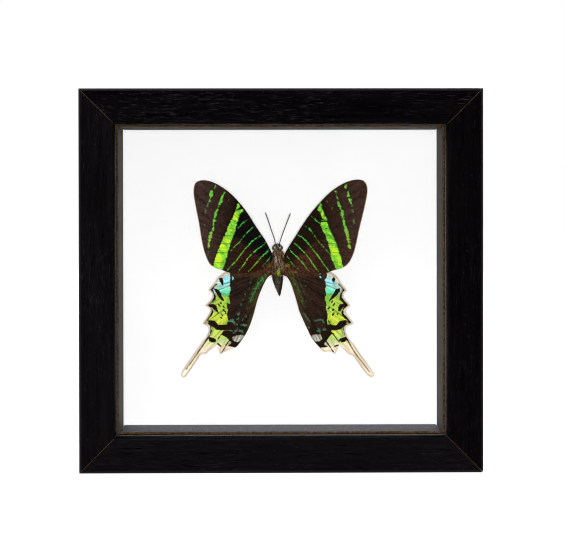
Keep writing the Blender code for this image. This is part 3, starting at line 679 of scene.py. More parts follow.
HINDWING_RIGHT_BLACK_STROKES = [
    [(23.2, -8.3, 0.4), (24.0, -9.0, 0.6), (24.7, -9.7, 0.8), (25.3, -10.6, 0.8),
     (24.6, -11.3, 0.6), (24.2, -12.0, 0.5), (24.1, -12.9, 0.8), (24.0, -13.9, 1.0),
     (24.6, -14.6, 1.0), (25.3, -15.5, 1.0), (26.0, -16.2, 1.0), (26.5, -16.7, 0.8)],
    [(25.9, -17.2, 0.5), (25.2, -17.8, 0.5), (24.9, -18.3, 0.4), (24.7, -19.5, 0.8),
     (24.9, -20.2, 0.8), (25.6, -21.0, 0.8), (26.5, -21.9, 0.8), (27.3, -22.8, 0.8),
     (27.7, -23.3, 0.6)],
    [(25.2, -24.8, 0.4), (25.3, -26.3, 0.4), (25.5, -27.8, 0.4), (26.0, -28.8, 0.4)],
    [(26.2, -29.2, 0.44), (27.3, -31.2, 0.42), (28.3, -33.0, 0.4), (29.9, -35.5, 0.34),
     (32.0, -38.2, 0.3), (34.0, -40.8, 0.26), (35.6, -42.9, 0.2)],
    [(20.9, -27.4, 0.4), (21.6, -28.4, 0.38), (22.6, -29.7, 0.34), (23.5, -30.8, 0.2)],
    [(18.5, -30.7, 0.42), (19.2, -31.6, 0.4), (20.2, -33.0, 0.36), (21.7, -35.4, 0.4)],
    thin([(20.8, -14.9), (20.6, -15.4)], 0.8),
    thin([(21.7, -15.9), (21.2, -16.7)], 0.8),
    thin([(19.7, -17.3), (19.3, -17.9)], 1.0),
    thin([(21.3, -18.1), (20.9, -18.7)], 0.9),
    thin([(21.4, -19.7), (20.9, -20.3)], 0.85),
    thin([(23.0, -19.8), (22.7, -20.2)], 0.85),
    thin([(19.4, -22.6), (19.8, -23.5)], 0.4),
]
# Grey-green strips between the dark margin and the dark crescents
HINDWING_LEFT_GREY = [
    [(-24.9, -11.3, 0.35), (-23.9, -12.4, 0.45), (-23.2, -13.3, 0.4)],
    [(-25.4, -18.0, 0.4), (-24.3, -19.0, 0.5)],
    [(-25.1, -10.7, 0.45), (-25.0, -10.8, 0.4)], [(-27.4, -23.0, 0.5), (-27.2, -23.1, 0.5)],
]
HINDWING_RIGHT_GREY = [
    [(24.6, -10.3, 0.6), (23.9, -11.7, 0.45), (23.0, -12.9, 0.45), (22.3, -13.5, 0.4)],
    [(24.4, -18.4, 0.4), (24.0, -19.2, 0.4)], [(26.5, -23.4, 0.6), (26.8, -23.5, 0.5)],
]
HINDWING_LEFT_STREAKS = [
    [(-3.8, -3.2, 0.9), (-5.5, -5.7, 1.4), (-7.4, -7.6, 1.5), (-8.6, -9.8, 1.2),
     (-9.7, -12.1, 1.0), (-10.8, -15.1, 0.7)],
]
HINDWING_RIGHT_STREAKS = [
    [(3.6, -3.2, 0.8), (5.0, -5.4, 1.0), (6.4, -8.0, 0.8), (7.8, -10.8, 0.7), (9.0, -14.0, 0.5),
     (9.8, -17.0, 0.4)],
]
HINDWING_LEFT_SPECKS = [
    [(-9.3, -5.2, 0.3), (-9.5, -5.5, 0.3)], [(-10.3, -6.1, 0.3), (-10.4, -6.5, 0.3)],
    [(-10.8, -7.7, 0.5), (-10.8, -8.2, 0.4)], [(-11.4, -9.9, 0.4), (-11.5, -10.2, 0.3)],
    [(-12.8, -12.1, 0.6), (-12.8, -12.6, 0.5)], [(-13.8, -14.3, 0.6), (-13.9, -14.8, 0.4)],
    [(-14.3, -16.2, 0.6), (-14.5, -16.8, 0.4)], [(-15.3, -19.6, 0.8), (-15.5, -20.1, 0.6)],
    [(-15.6, -21.6, 0.8), (-15.9, -22.0, 0.6)], [(-11.6, -17.0, 0.5), (-12.1, -18.1, 0.4)],
    [(-13.8, -22.0, 0.6), (-13.9, -22.4, 0.5)], [(-12.4, -20.5, 0.6), (-12.6, -20.8, 0.5)],
    [(-19.1, -22.7, 0.5), (-17.8, -22.4, 1.1), (-16.9, -23.4, 0.8), (-15.7, -24.0, 0.6)],
    [(-14.5, -24.1, 0.4), (-12.2, -24.3, 0.6)],
    [(-20.6, -26.1, 0.3), (-19.9, -26.1, 0.5), (-18.9, -26.2, 0.7), (-17.9, -26.5, 0.6),
     (-17.3, -27.1, 0.4)],
    [(-15.9, -25.2, 0.4), (-16.2, -26.0, 0.7), (-16.6, -26.6, 0.7)],
    [(-14.8, -26.3, 0.6), (-13.7, -26.9, 0.5)],
]
HINDWING_RIGHT_SPECKS = [
    [(7.5, -5.0, 0.25), (8.9, -9.1, 0.25), (10.2, -12.3, 0.3), (10.9, -15.5, 0.25)],
    [(9.8, -6.8, 0.25), (9.9, -7.1, 0.25)], [(10.5, -9.0, 0.25), (10.6, -9.3, 0.25)],
    [(11.6, -12.2, 0.35), (11.7, -12.5, 0.3)], [(12.6, -14.1, 0.35), (12.8, -14.4, 0.3)],
    [(13.3, -15.9, 0.45), (13.5, -16.2, 0.4)],
    [(9.8, -19.6, 0.5), (11.0, -21.5, 0.6), (12.4, -23.0, 0.5)],
    [(14.1, -22.6, 0.6), (15.8, -22.1, 1.0), (17.1, -22.5, 0.7), (17.5, -23.3, 0.4)],
    [(18.5, -25.7, 0.5), (17.6, -25.9, 0.8), (16.8, -26.2, 0.5)],
    [(15.3, -25.5, 0.5), (15.8, -26.2, 0.7), (16.2, -26.9, 0.4)],
    [(14.6, -26.4, 0.5), (15.4, -26.6, 0.5)], [(11.4, -25.1, 0.5), (11.7, -25.3, 0.4)],
]
HINDWING_LEFT_SKY = [
    [(-20.2, -6.5, 2.4), (-19.9, -6.4, 2.4)],
    [(-17.7, -5.5, 0.3), (-17.5, -6.1, 0.55), (-17.6, -6.7, 0.4)],
    [(-23.0, -7.7, 0.6), (-22.5, -8.2, 0.8)],
]
HINDWING_RIGHT_SKY = [
    [(18.5, -6.9, 1.0), (19.5, -7.1, 1.1), (20.7, -7.7, 0.7)],
    [(16.1, -5.6, 0.4), (16.3, -5.8, 0.5)], [(16.1, -4.4, 0.2), (16.1, -4.5, 0.2)],
]

WINGS = {
    "forewing_left": dict(
        side=-1, bands=FOREWING_LEFT_MAIN, outer=FOREWING_LEFT_OUTER, lines=FOREWING_LEFT_LINES,
        faint=FOREWING_LEFT_FAINT, glow=FOREWING_LEFT_GLOW, black_strokes=FOREWING_LEFT_CUTS,
        veins=FOREWING_VEINS,
    ),
    "forewing_right": dict(
        side=1, bands=FOREWING_RIGHT_MAIN, outer=FOREWING_RIGHT_OUTER, lines=FOREWING_RIGHT_LINES,
        faint=FOREWING_RIGHT_FAINT, glow=FOREWING_RIGHT_GLOW, black_strokes=FOREWING_RIGHT_CUTS,
        veins=FOREWING_VEINS,
    ),
    "hindwing_left": dict(
        side=-1, streaks=HINDWING_LEFT_STREAKS, faint=HINDWING_LEFT_SPECKS, veins=HINDWING_VEINS,
        band=[HINDWING_LEFT_BAND], cream=[HINDWING_LEFT_CREAM], pale=HINDWING_LEFT_PALE,
        black_shapes=HINDWING_LEFT_BLACK_SHAPES, black_strokes=HINDWING_LEFT_BLACK_STROKES,
        sky=HINDWING_LEFT_SKY, grey=HINDWING_LEFT_GREY,
    ),
    "hindwing_right": dict(
        side=1, streaks=HINDWING_RIGHT_STREAKS, faint=HINDWING_RIGHT_SPECKS, veins=HINDWING_VEINS,
        band=[HINDWING_RIGHT_BAND], cream=[HINDWING_RIGHT_CREAM], pale=HINDWING_RIGHT_PALE,
        black_shapes=HINDWING_RIGHT_BLACK_SHAPES, black_strokes=HINDWING_RIGHT_BLACK_STROKES,
        sky=HINDWING_RIGHT_SKY, grey=HINDWING_RIGHT_GREY,
    ),
}


# Wings

# How far apart a wing's points are, and how thick its membrane is
WING_STEP = 0.24
WING_SHEET = 0.12
# Rows of even triangles lie this share of a step apart.
ROW_SPACING = 0.866
# How far the membrane stops short of a fringed margin, how many hairs stand at each point of the
# margin, and how wide a hair is
FRINGE_INSET = 0.4
FRINGE_DENSITY = 7
FRINGE_HAIR = 0.045
# How far the hindwings' fringe stands out past the CAD outline above the tails, and elsewhere
FRINGE_REACH = 0.38
SHORT_REACH = 0.04
TAIL_TOP = -28.5
# Outline points closer in than ROOT_REACH are tucked in under the thorax by ROOT_TUCK.
ROOT_REACH = 2.9
ROOT_TUCK = 1.5
# The right wings reach a little farther from the axis than the left ones.
RIGHT_REACH = 1.045
# Marks drawn as strokes and as shapes, and the field's value where a wing has none of a kind
STROKE_FIELDS = (
    "bands", "outer", "glow", "streaks", "lines", "faint", "sky", "grey", "black_strokes",
)
SHAPE_FIELDS = ("band", "cream", "pale", "black_shapes")
UNDRAWN = -9.0


def hair_object(name, starts, directions, lengths, width, bend, material, fields):
    """Tapered three-sided hairs in one mesh. Each bends by its own vector towards its tip.
    fields holds one value for each hair, and the field "tip" runs 0 to 1 along a hair."""
    count = len(starts)
    directions = directions / np.linalg.norm(directions, axis=1)[:, None]
    helper = np.where(np.abs(directions[:, :1]) > 0.8, [[0, 1.0, 0]], [[1.0, 0, 0]])
    across = np.cross(directions, helper)
    across /= np.linalg.norm(across, axis=1)[:, None]
    other = np.cross(directions, across)
    lengths = np.broadcast_to(lengths, count)[:, None]
    rings = ((0.0, 0.75), (0.4, 1.0), (0.75, 0.65))
    points = []
    for share, girth in rings:
        centre = starts + directions * lengths * share + bend * share**2
        for corner in range(3):
            angle = 2 * math.pi * corner / 3
            side = across * math.cos(angle) + other * math.sin(angle)
            points.append(centre + side * (width * girth / 2))
    points.append(starts + directions * lengths + bend)
    per_hair = len(points)
    stacked = np.stack(points, axis=1).reshape(-1, 3)
    faces = [(2, 1, 0)]
    for ring in range(len(rings) - 1):
        for k in range(3):
            a, b = 3 * ring + k, 3 * ring + (k + 1) % 3
            faces.append((a, b, b + 3, a + 3))
    last = 3 * (len(rings) - 1)
    faces += [(last + k, last + (k + 1) % 3, per_hair - 1) for k in range(3)]
    all_faces = [tuple(i + per_hair * h for i in face) for h in range(count) for face in faces]
    made = mesh_object(name, stacked, all_faces, material)
    shares = [share for share, _ in rings for _ in range(3)] + [1.0]
    add_attribute(made, "tip", np.tile(shares, count))
    for key, values in fields.items():
        add_attribute(made, key, np.repeat(values, per_hair))
    return made


def front_rim(node):
    """The outline of a CAD wing's front face, as ordered points in metres."""
    mesh = NODES[node].data
    welded = {}
    index = []
    for vert in mesh.vertices:
        key = tuple(round(c * 1e6) for c in vert.co)
        index.append(welded.setdefault(key, len(welded)))
    points = np.array(list(welded), float) * 1e-6
    sides = []
    for face in mesh.polygons:
        if face.normal.y < -0.9:
            corners = [index[i] for i in face.vertices]
            sides += zip(corners, corners[1:] + corners[:1])
    shared = set(sides)
    edges = {a: b for a, b in sides if (b, a) not in shared}
    start = next(iter(edges))
    loop = [start]
    while edges[loop[-1]] != start:
        loop.append(edges[loop[-1]])
    return points[loop]


def resample(loop, step):
    """A closed loop of (u, v) with points one step apart."""
    closed = np.vstack([loop, loop[:1]])
    lengths = np.concatenate([[0], np.cumsum(np.linalg.norm(np.diff(closed, axis=0), axis=1))])
    count = round(lengths[-1] / step)
    places = np.linspace(0, lengths[-1], count, endpoint=False)
    return np.stack([np.interp(places, lengths, closed[:, k]) for k in (0, 1)], axis=1)


def hex_grid(low, high, step):
    """The corners of even triangles that cover a box."""
    rows = int((high[1] - low[1]) / (step * ROW_SPACING)) + 2
    columns = int((high[0] - low[0]) / step) + 2
    grid = []
    for row in range(rows):
        shift = 0.5 * step * (row % 2)
        u = low[0] + shift + step * np.arange(columns)
        v = low[1] + row * step * ROW_SPACING
        grid.append(np.stack([u, np.full(columns, v)], axis=1))
    return np.vstack(grid)


def fringe_weight(name, uv):
    """How much pale fringe the margin carries: 1 on the hindwings' outer margin, 0 for none."""
    if name.startswith("forewing"):
        outer = smoothstep(np.abs(uv[:, 0]) - 0.55 * uv[:, 1], 13.5, 17.5)
        return 0.3 * outer * smoothstep(np.abs(uv[:, 0]) + 2 * uv[:, 1], 10.0, 20.0)
    outer = smoothstep(np.abs(uv[:, 0]) + 0.35 * uv[:, 1], 13.0, 15.5)
    low = smoothstep(-uv[:, 1], 33.0, 33.8)
    return np.maximum(outer, low)


class Wing:
    """One wing's outline and plane, read from the CAD, and the membrane's shape on them."""

    def __init__(self, name, drawing):
        self.name = name
        self.drawing = drawing
        self.side = drawing["side"]
        rim = front_rim(name)
        uv = np.stack([(rim[:, 0] - MOTH_X) / MM, (rim[:, 2] - MOTH_Z) / MM], axis=1)
        self.slope, self.root_y = np.polyfit(uv[:, 0], rim[:, 1] / MM, 1)
        at_root = np.abs(uv[:, 0]) < ROOT_REACH
        uv[at_root, 0] -= self.side * ROOT_TUCK
        uv[at_root & (uv[:, 1] > ROOT_REACH), 1] -= 2 * ROOT_TUCK
        edge = resample(uv, WING_STEP)
        ahead = np.roll(edge, -2, axis=0) - np.roll(edge, 2, axis=0)
        normal = np.stack([ahead[:, 1], -ahead[:, 0]], axis=1)
        normal /= np.linalg.norm(normal, axis=1)[:, None] + 1e-9
        if np.sum(inside_shape(edge + 0.2 * normal, edge) > 0) > len(edge) / 2:
            normal = -normal
        self.edge = edge
        self.normal = normal
        self.fringe = fringe_weight(name, edge)
        self.membrane = edge - normal * (FRINGE_INSET * self.fringe)[:, None]
        mirror = 1.0 if self.side < 0 else -RIGHT_REACH
        self.veins = [[(u * mirror, v, 0.0) for u, v in vein] for vein in drawing["veins"]]

    def vein_distance(self, uv):
        return -inside_any(uv, self.veins, inside_stroke)

    def middle_y(self, uv, vein):
        """Y of the membrane's middle in metres: the CAD plane with camber, pleats and veins."""
        u = uv[:, 0] * self.side
        v = uv[:, 1]
        camber = 0.22 * np.sin(u * 0.16 + 0.4) + 0.10 * np.sin(v * 0.21 + u * 0.07)
        pleats = 0.05 * np.cos(np.minimum(vein, 2.5) / 2.5 * math.pi)
        relief = camber + pleats + 0.07 * np.exp(-((vein / 0.16) ** 2))
        relief = relief * smoothstep(u, 2.0, 7.0)
        return (self.root_y + self.slope * uv[:, 0] + 0.25 - relief) * MM

    def fields(self, uv, margin, vein):
        """Every field that the wing material reads, as a value for each point."""
        past_root = np.abs(uv[:, 0]) - 1.0
        above_root = uv[:, 1] - self.veins[0][0][1]
        fields = {
            "margin": margin,
            "vein": vein,
            "height": uv[:, 1],
            "outward": uv[:, 0] * self.side,
            "angle": np.arctan2(above_root, past_root),
            "reach": np.hypot(above_root, past_root),
            "fringe": fringe_weight(self.name, uv),
            "hind": np.full(len(uv), float(self.name.startswith("hindwing"))),
            "right": np.full(len(uv), float(self.side > 0)),
        }
        for keys, measure in ((STROKE_FIELDS, inside_stroke), (SHAPE_FIELDS, inside_shape)):
            for key in keys:
                drawn = self.drawing.get(key)
                fields[key] = inside_any(uv, drawn, measure) if drawn else np.full(len(uv), UNDRAWN)
        fields["black"] = np.maximum(fields.pop("black_strokes"), fields.pop("black_shapes"))
        return fields

    def build(self, material):
        """The membrane as a thin closed sheet that stands for the CAD wing."""
        outline = self.membrane
        grid = hex_grid(outline.min(0), outline.max(0), WING_STEP)
        grid = grid[inside_shape(grid, outline) > 0.6 * WING_STEP]
        points = [Vector(p) for p in np.vstack([outline, grid])]
        edges = [(i, (i + 1) % len(outline)) for i in range(len(outline))]
        flat, _, triangles, *_ = delaunay_2d_cdt(points, edges, [], 1, 1e-7)
        uv = np.array([tuple(p) for p in flat])
        margin = inside_shape(uv, self.edge)
        vein = self.vein_distance(uv)
        middle = self.middle_y(uv, vein)
        half = (0.4 + 0.6 * smoothstep(margin, 0.0, 0.5)) * WING_SHEET / 2 * MM
        x = MOTH_X + uv[:, 0] * MM
        z = MOTH_Z + uv[:, 1] * MM
        front = np.stack([x, middle - half, z], axis=1)
        back = np.stack([x, middle + half, z], axis=1)
        count = len(uv)
        faces = [tuple(t) for t in triangles]
        a, b, c = (front[i] for i in faces[0])
        if np.cross(b - a, c - a)[1] > 0:
            faces = [t[::-1] for t in faces]
        directed = {(t[i], t[(i + 1) % 3]) for t in faces for i in range(3)}
        rim_edges = [(p, q) for p, q in directed if (q, p) not in directed]
        faces += [tuple(i + count for i in reversed(t)) for t in faces]
        faces += [(q, p, p + count, q + count) for p, q in sorted(rim_edges)]
        made = mesh_object(self.name + "_scaled", np.vstack([front, back]), faces, material)
        for key, values in self.fields(uv, margin, vein).items():
            add_attribute(made, key, np.concatenate([values, values]))
        return finish_piece(made, "wing_scales", self.name)

    def build_fringe(self, material):
        """Hair-scales along the pale margins, from inside the membrane's edge to the outline."""
        roots, ways, lengths, tints = [], [], [], []
        order = np.flatnonzero(self.fringe > 0.05)
        for i in order:
            for _ in range(FRINGE_DENSITY):
                shift = RANDOM.uniform(-0.5, 0.5) * WING_STEP
                inset = RANDOM.uniform(0.15, 0.6) * self.fringe[i]
                out = self.normal[i]
                along = np.array([-out[1], out[0]])
                place = self.edge[i] - out * inset + along * shift
                lean = out + along * RANDOM.normal(0, 0.22)
                roots.append(place)
                ways.append(lean / np.linalg.norm(lean))
                long = self.edge[i, 1] > TAIL_TOP and self.fringe[i] > 0.5
                reach = FRINGE_REACH if long else SHORT_REACH
                lengths.append(inset + reach + RANDOM.uniform(-0.08, 0.1))
                tints.append(RANDOM.uniform(0, 1))
        roots = np.array(roots)
        ways = np.array(ways)
        y = self.middle_y(roots, np.full(len(roots), 2.5))
        y += RANDOM.uniform(-0.04, 0.04, len(roots)) * MM
        starts = np.stack([MOTH_X + roots[:, 0] * MM, y, MOTH_Z + roots[:, 1] * MM], axis=1)
        directions = np.stack([ways[:, 0], RANDOM.normal(0, 0.05, len(roots)), ways[:, 1]], axis=1)
        made = hair_object(
            self.name + "_fringe", starts, directions, np.array(lengths) * MM,
            FRINGE_HAIR * MM, np.zeros_like(starts), material, {"tint": np.array(tints)},
        )
        return finish_piece(made, "wing_scales")


def wing_material():
    """Scaled membrane: brown ground, green marks, turquoise to yellow bands, cream tails."""
    s = Shading("scaled_wing")
    fine = s.noise(s.stretched(5200), detail=2)
    grit = s.noise(s.stretched(2200, (3, 5, 7)), detail=2)
    clump = s.noise(s.stretched(1000, (8, 1, 4)), detail=2)
    patch = s.noise(s.stretched(420, (1, 2, 3)), detail=3)
    rays = s.rays(34, 0.12)
    wide_rays = s.rays(11, 0.05)
    hind = s.attribute("hind")
    fore = s.minus(1.0, hind)
    height = s.attribute("height")
    outward = s.attribute("outward")
    right = s.attribute("right")
    vein = s.attribute("vein")
    margin = s.attribute("margin")
    on_vein = s.step(vein, 0.26, 0.06)

    def around_zero(noise, reach):
        return s.times(s.minus(noise, 0.5), reach)

    scatter = s.plus(around_zero(clump, 1.0),
                     s.plus(around_zero(grit, 0.9), around_zero(fine, 0.4)))

    def mask(field, soft=0.12, rough=1.0, shift=0.0):
        """1 inside a mark, with an edge of scattered scales."""
        value = s.plus(s.plus(s.attribute(field), shift), s.times(scatter, rough))
        return s.step(value, -soft, soft)

    # Brown ground, near black towards the front edge, reddish at the base, paler at the tip, with a
    #     painted sheen patch on the right forewing
    ground = s.mix(s.step(patch, 0.35, 0.7), srgb(38, 25, 19), srgb(43, 29, 22))
    ground = s.mix(s.times(fore, s.step(outward, 19.0, 30.0)), ground, srgb(63, 45, 40))
    slant = s.minus(height, s.times(outward, 0.75))
    dark_front = s.times(fore, s.step(slant, -5.5, -0.5), s.step(outward, 20.0, 15.5))
    ground = s.mix(dark_front, ground, srgb(13, 8, 9))
    ground = s.mix(s.times(dark_front, right), ground, srgb(12, 8, 3))
    base_red = s.times(fore, s.step(slant, -3.0, -6.5), s.step(outward, 19.0, 11.0))
    ground = s.mix(base_red, ground, srgb(44, 18, 9))
    ground = s.mix(s.times(hind, s.step(height, -7.0, -3.8)), ground, srgb(68, 44, 28))
    inner_edge = s.times(hind, s.step(margin, 3.4, 0.4), s.step(outward, 14.0, 10.5))
    ground = s.mix(s.times(inner_edge, 0.6), ground, srgb(64, 54, 28))
    ground = s.mix(s.times(right, 0.3), ground, srgb(50, 30, 18))
    # Painted sheen: a paler reddish patch on the right forewing, standing for light on its scales
    painted_sheen_patch = s.times(fore, right, s.step(slant, -2.0, -4.2), s.step(outward, 16.0, 12.0),
                   s.step(outward, 5.0, 9.0))
    ground = s.mix(s.times(painted_sheen_patch, 0.5), ground, srgb(74, 44, 34))
    shading = s.plus(around_zero(rays, 1.7),
                     s.times(around_zero(wide_rays, 2.0), s.plus(0.4, hind)))
    shading = s.plus(shading, s.plus(around_zero(grit, 1.6), around_zero(clump, 1.4)))
    ground = s.scale(ground, s.math("MAXIMUM", s.plus(shading, 0.9), 0.25))
    ground = s.mix(s.times(on_vein, 0.35), ground, srgb(16, 11, 10))
    pale_edge = s.times(fore, s.step(margin, 0.42, 0.1), s.step(s.attribute("fringe"), 0.1, 0.28))
    ground = s.mix(s.times(pale_edge, 0.75), ground, srgb(190, 164, 138))

    # Green marks of the forewing
    beads = s.cells(s.stretched(820, (2, 6, 1)))
    yellow = s.step(s.plus(s.attribute("glow"), around_zero(patch, 3.0)), -0.5, 0.7)
    green = s.mix(s.step(clump, 0.35, 0.65), srgb(92, 168, 44), srgb(138, 214, 58))
    bright = s.mix(s.step(grit, 0.35, 0.65), srgb(176, 214, 42), srgb(204, 236, 40))
    bright = s.mix(yellow, green, bright)
    bright = s.mix(s.times(s.step(rays, 0.5, 0.32), 0.55), bright, srgb(62, 134, 42))
    bright = s.mix(s.times(on_vein, 0.7), bright, srgb(54, 116, 42))
    outer = s.mix(s.step(height, 15.0, 9.0), srgb(94, 190, 56), srgb(132, 172, 52))
    outer = s.mix(s.step(clump, 0.54, 0.68), outer, srgb(140, 196, 84))
    outer = s.mix(s.times(s.step(grit, 0.5, 0.32), 0.75), outer, srgb(50, 66, 32))
    line = s.mix(s.step(slant, -5.0, 1.0), srgb(104, 172, 46), srgb(66, 192, 70))
    line = s.mix(s.times(s.step(clump, 0.54, 0.68), 0.5), line, srgb(32, 84, 38))
    streak = s.mix(s.step(outward, 3.0, 7.0), srgb(74, 116, 50), srgb(56, 132, 62))
    streak = s.mix(s.times(right, 0.6), streak, srgb(52, 76, 34))
    speck = s.mix(s.step(height, -19.0, -21.0), srgb(46, 88, 58), srgb(74, 120, 92))
    speck = s.mix(s.times(right, 0.35), speck, srgb(44, 56, 44))
    colour = s.mix(s.times(mask("faint", 0.2, 1.3, -0.06), 0.8), ground,
                   s.mix(hind, srgb(92, 112, 62), speck))
    streaked = s.times(mask("streaks", 0.5, 2.4, -0.16), s.step(grit, 0.36, 0.6))
    colour = s.mix(s.times(streaked, 0.85), colour, streak)
    colour = s.mix(s.times(mask("lines", 0.11, 0.9, -0.155), 0.95), colour, line)
    strung = s.plus(s.plus(s.attribute("outer"), s.times(scatter, 1.1)),
                    s.minus(0.4, s.times(beads, 1.1)))
    colour = s.mix(s.times(s.step(strung, -0.14, 0.16), 0.95), colour, outer)
    colour = s.mix(mask("bands", 0.1, 0.9, 0.05), colour, bright)

    # Outer band of the hindwing, by height: sky, grey-blue, aqua, then green and yellow-green
    place = s.plus(height, around_zero(patch, 1.4))
    share = s.over(s.plus(place, 26.0), 22.0)
    band = s.ramp(share, [
        (0.09, srgb(182, 206, 66)), (0.22, srgb(200, 218, 66)), (0.32, srgb(182, 212, 74)),
        (0.42, srgb(170, 208, 74)), (0.5, srgb(184, 214, 78)), (0.57, srgb(164, 204, 66)),
        (0.605, srgb(134, 194, 76)), (0.63, srgb(84, 178, 132)), (0.66, srgb(112, 234, 176)),
        (0.715, srgb(116, 236, 188)), (0.75, srgb(164, 214, 192)), (0.78, srgb(98, 170, 166)),
        (0.82, srgb(96, 178, 184)), (0.85, srgb(140, 204, 208)), (0.92, srgb(176, 216, 214)),
        (0.96, srgb(206, 220, 210)),
    ])
    cool = s.step(height, -12.8, -12.1)
    warm = s.minus(1.0, cool)
    band_dark = s.mix(cool, srgb(96, 146, 48), srgb(64, 144, 150))
    band_light = s.mix(cool, srgb(222, 230, 104), srgb(196, 240, 236))
    inner = s.times(warm, s.step(outward, 20.9, 19.4), s.step(height, -21.0, -18.0))
    band = s.mix(s.times(inner, 0.65), band, srgb(104, 184, 68))
    band = s.mix(s.times(s.step(rays, 0.5, 0.36), 0.8), band, band_dark)
    band = s.mix(s.times(s.step(rays, 0.53, 0.66), 0.75), band, band_light)
    golden = s.times(warm, s.step(height, -19.0, -22.0), s.step(wide_rays, 0.4, 0.6))
    band = s.mix(s.times(golden, 0.45), band, srgb(214, 222, 44))
    band = s.mix(s.times(s.step(grit, 0.45, 0.25), 0.4), band, band_dark)
    band = s.mix(s.times(on_vein, 0.18), band, srgb(112, 140, 58))
    band = s.mix(s.times(cool, s.step(margin, 2.6, 1.5), 0.75), band, srgb(188, 210, 200))
    sky = s.mix(s.step(wide_rays, 0.4, 0.6), srgb(112, 214, 238), srgb(176, 242, 248))
    band = s.mix(mask("sky", 0.2, 0.7), band, sky)
    band = s.scale(band, s.plus(0.86, around_zero(clump, 0.5)))
    colour = s.mix(mask("sky", 0.15, 0.5), colour, srgb(104, 208, 224))
    colour = s.mix(mask("band", 0.1, 0.7), colour, band)
    lobe_share = s.over(s.plus(s.plus(height, around_zero(patch, 1.5)), 37.0), 13.0)
    cream = s.ramp(lobe_share, [
        (0.1, srgb(242, 232, 208)), (0.28, srgb(230, 216, 188)), (0.4, srgb(210, 206, 164)),
        (0.5, srgb(180, 196, 130)), (0.6, srgb(170, 198, 104)), (0.7, srgb(194, 212, 90)),
        (0.86, srgb(190, 208, 84)), (0.93, srgb(134, 176, 88)),
    ])
    stripe_dark = s.mix(s.step(height, -32.5, -30.5), srgb(206, 180, 146), srgb(112, 148, 84))
    cream = s.mix(s.times(s.step(rays, 0.5, 0.4), 0.6), cream, stripe_dark)
    stripe_light = s.mix(s.step(height, -31.5, -28.5), srgb(246, 242, 198), srgb(234, 230, 96))
    cream = s.mix(s.times(s.step(rays, 0.54, 0.66), 0.6), cream, stripe_light)
    by_line = s.times(s.step(height, -29.0, -27.5), s.step(margin, 1.9, 1.2))
    cream = s.mix(s.times(by_line, 0.75), cream, srgb(96, 130, 64))
    colour = s.mix(mask("cream", 0.12, 0.6), colour, cream)
    pale = s.mix(s.step(rays, 0.36, 0.6), srgb(112, 102, 86), srgb(184, 190, 178))
    pale = s.mix(s.times(s.step(clump, 0.45, 0.65), 0.5), pale, srgb(154, 142, 118))
    colour = s.mix(mask("pale", 0.2, 0.8), colour, pale)

    # Fringe and tails, then the dark marks over everything
    tail = s.step(height, -33.0, -35.0)
    fringed = s.math("MAXIMUM", s.attribute("fringe"), tail)
    edge = s.times(fringed, s.step(s.plus(margin, s.times(scatter, 0.5)), 0.95, 0.65))
    streaky = s.mix(s.step(rays, 0.4, 0.6), srgb(226, 208, 178), srgb(248, 242, 216))
    colour = s.mix(s.times(hind, tail), colour, streaky)
    tan = s.mix(s.step(rays, 0.35, 0.65), srgb(206, 178, 146), srgb(234, 216, 190))
    colour = s.mix(s.times(hind, edge), colour, tan)
    black = s.mix(patch, srgb(16, 8, 4), srgb(36, 22, 13))
    colour = s.mix(mask("black", 0.1, 0.6, 0.03), colour, black)
    grey = s.mix(clump, srgb(86, 88, 58), srgb(170, 172, 132))
    colour = s.mix(s.times(mask("grey", 0.12, 0.5), 0.9), colour, grey)
    s.set(Base_Color=colour)
    s.set(Roughness=s.plus(0.55, s.times(fine, 0.3)))
    s.set(Specular_IOR_Level=0.08)
    s.bump(s.plus(s.plus(s.times(fine, 0.5), grit), rays), 0.35, 0.00008)
    return s.material


def fringe_material():
    """Pale hair-scales, tan at the root."""
    s = Shading("fringe_scales")
    tone = s.plus(s.times(s.attribute("tint"), 0.5), s.times(s.attribute("tip"), 0.5))
    s.set(Base_Color=s.ramp(tone, [(0.0, srgb(182, 150, 118)), (0.5, srgb(216, 192, 162)),
                                   (1.0, srgb(238, 224, 202))]))
    s.set(Roughness=0.8, Specular_IOR_Level=0.2)
    s.bump(s.noise(s.stretched(3000)), 0.2, 0.00003)
    return s.material


# Body


def to_world(uvw):
    """(u, v, w) in millimetres to metres, where w runs from the body's middle to the viewer."""
    uvw = np.asarray(uvw, float)
    return np.stack(
        [MOTH_X + uvw[:, 0] * MM, BODY_Y - uvw[:, 2] * MM, MOTH_Z + uvw[:, 1] * MM], axis=1
    )


def way_to_world(uvw):
    return np.stack([uvw[:, 0], -uvw[:, 2], uvw[:, 1]], axis=1)


def loft(name, rings, material):
    """A closed skin through rings of (u, v, w) points, with a point at each end."""
    count = len(rings[0])
    points = [np.mean(rings[0], axis=0)]
    for ring in rings:
        points += list(ring)
    points.append(np.mean(rings[-1], axis=0))
    faces = []
    for k in range(count):
        after = (k + 1) % count
        faces.append((0, 1 + after, 1 + k))
        for r in range(len(rings) - 1):
            a = 1 + r * count
            faces.append((a + k, a + after, a + count + after, a + count + k))
        last = 1 + (len(rings) - 1) * count
        faces.append((last + k, last + after, len(points) - 1))
    made = mesh_object(name, to_world(points), faces, material)
    made.data.flip_normals()
    return made


def tube_rings(path, radii, sides):
    """Rings of points around a path of (u, v, w), in planes square to it."""
    path = np.asarray(path, float)
    ahead = np.gradient(path, axis=0)
    rings = []
    for centre, way, radius in zip(path, ahead, radii):
        way = way / np.linalg.norm(way)
        across = np.cross(way, (0, 0, 1.0))
        across /= np.linalg.norm(across)
        up = np.cross(across, way)
        angles = 2 * np.pi * np.arange(sides) / sides
        turned = np.cos(angles)[:, None] * across + np.sin(angles)[:, None] * up
        rings.append(centre + radius * turned)
    return rings


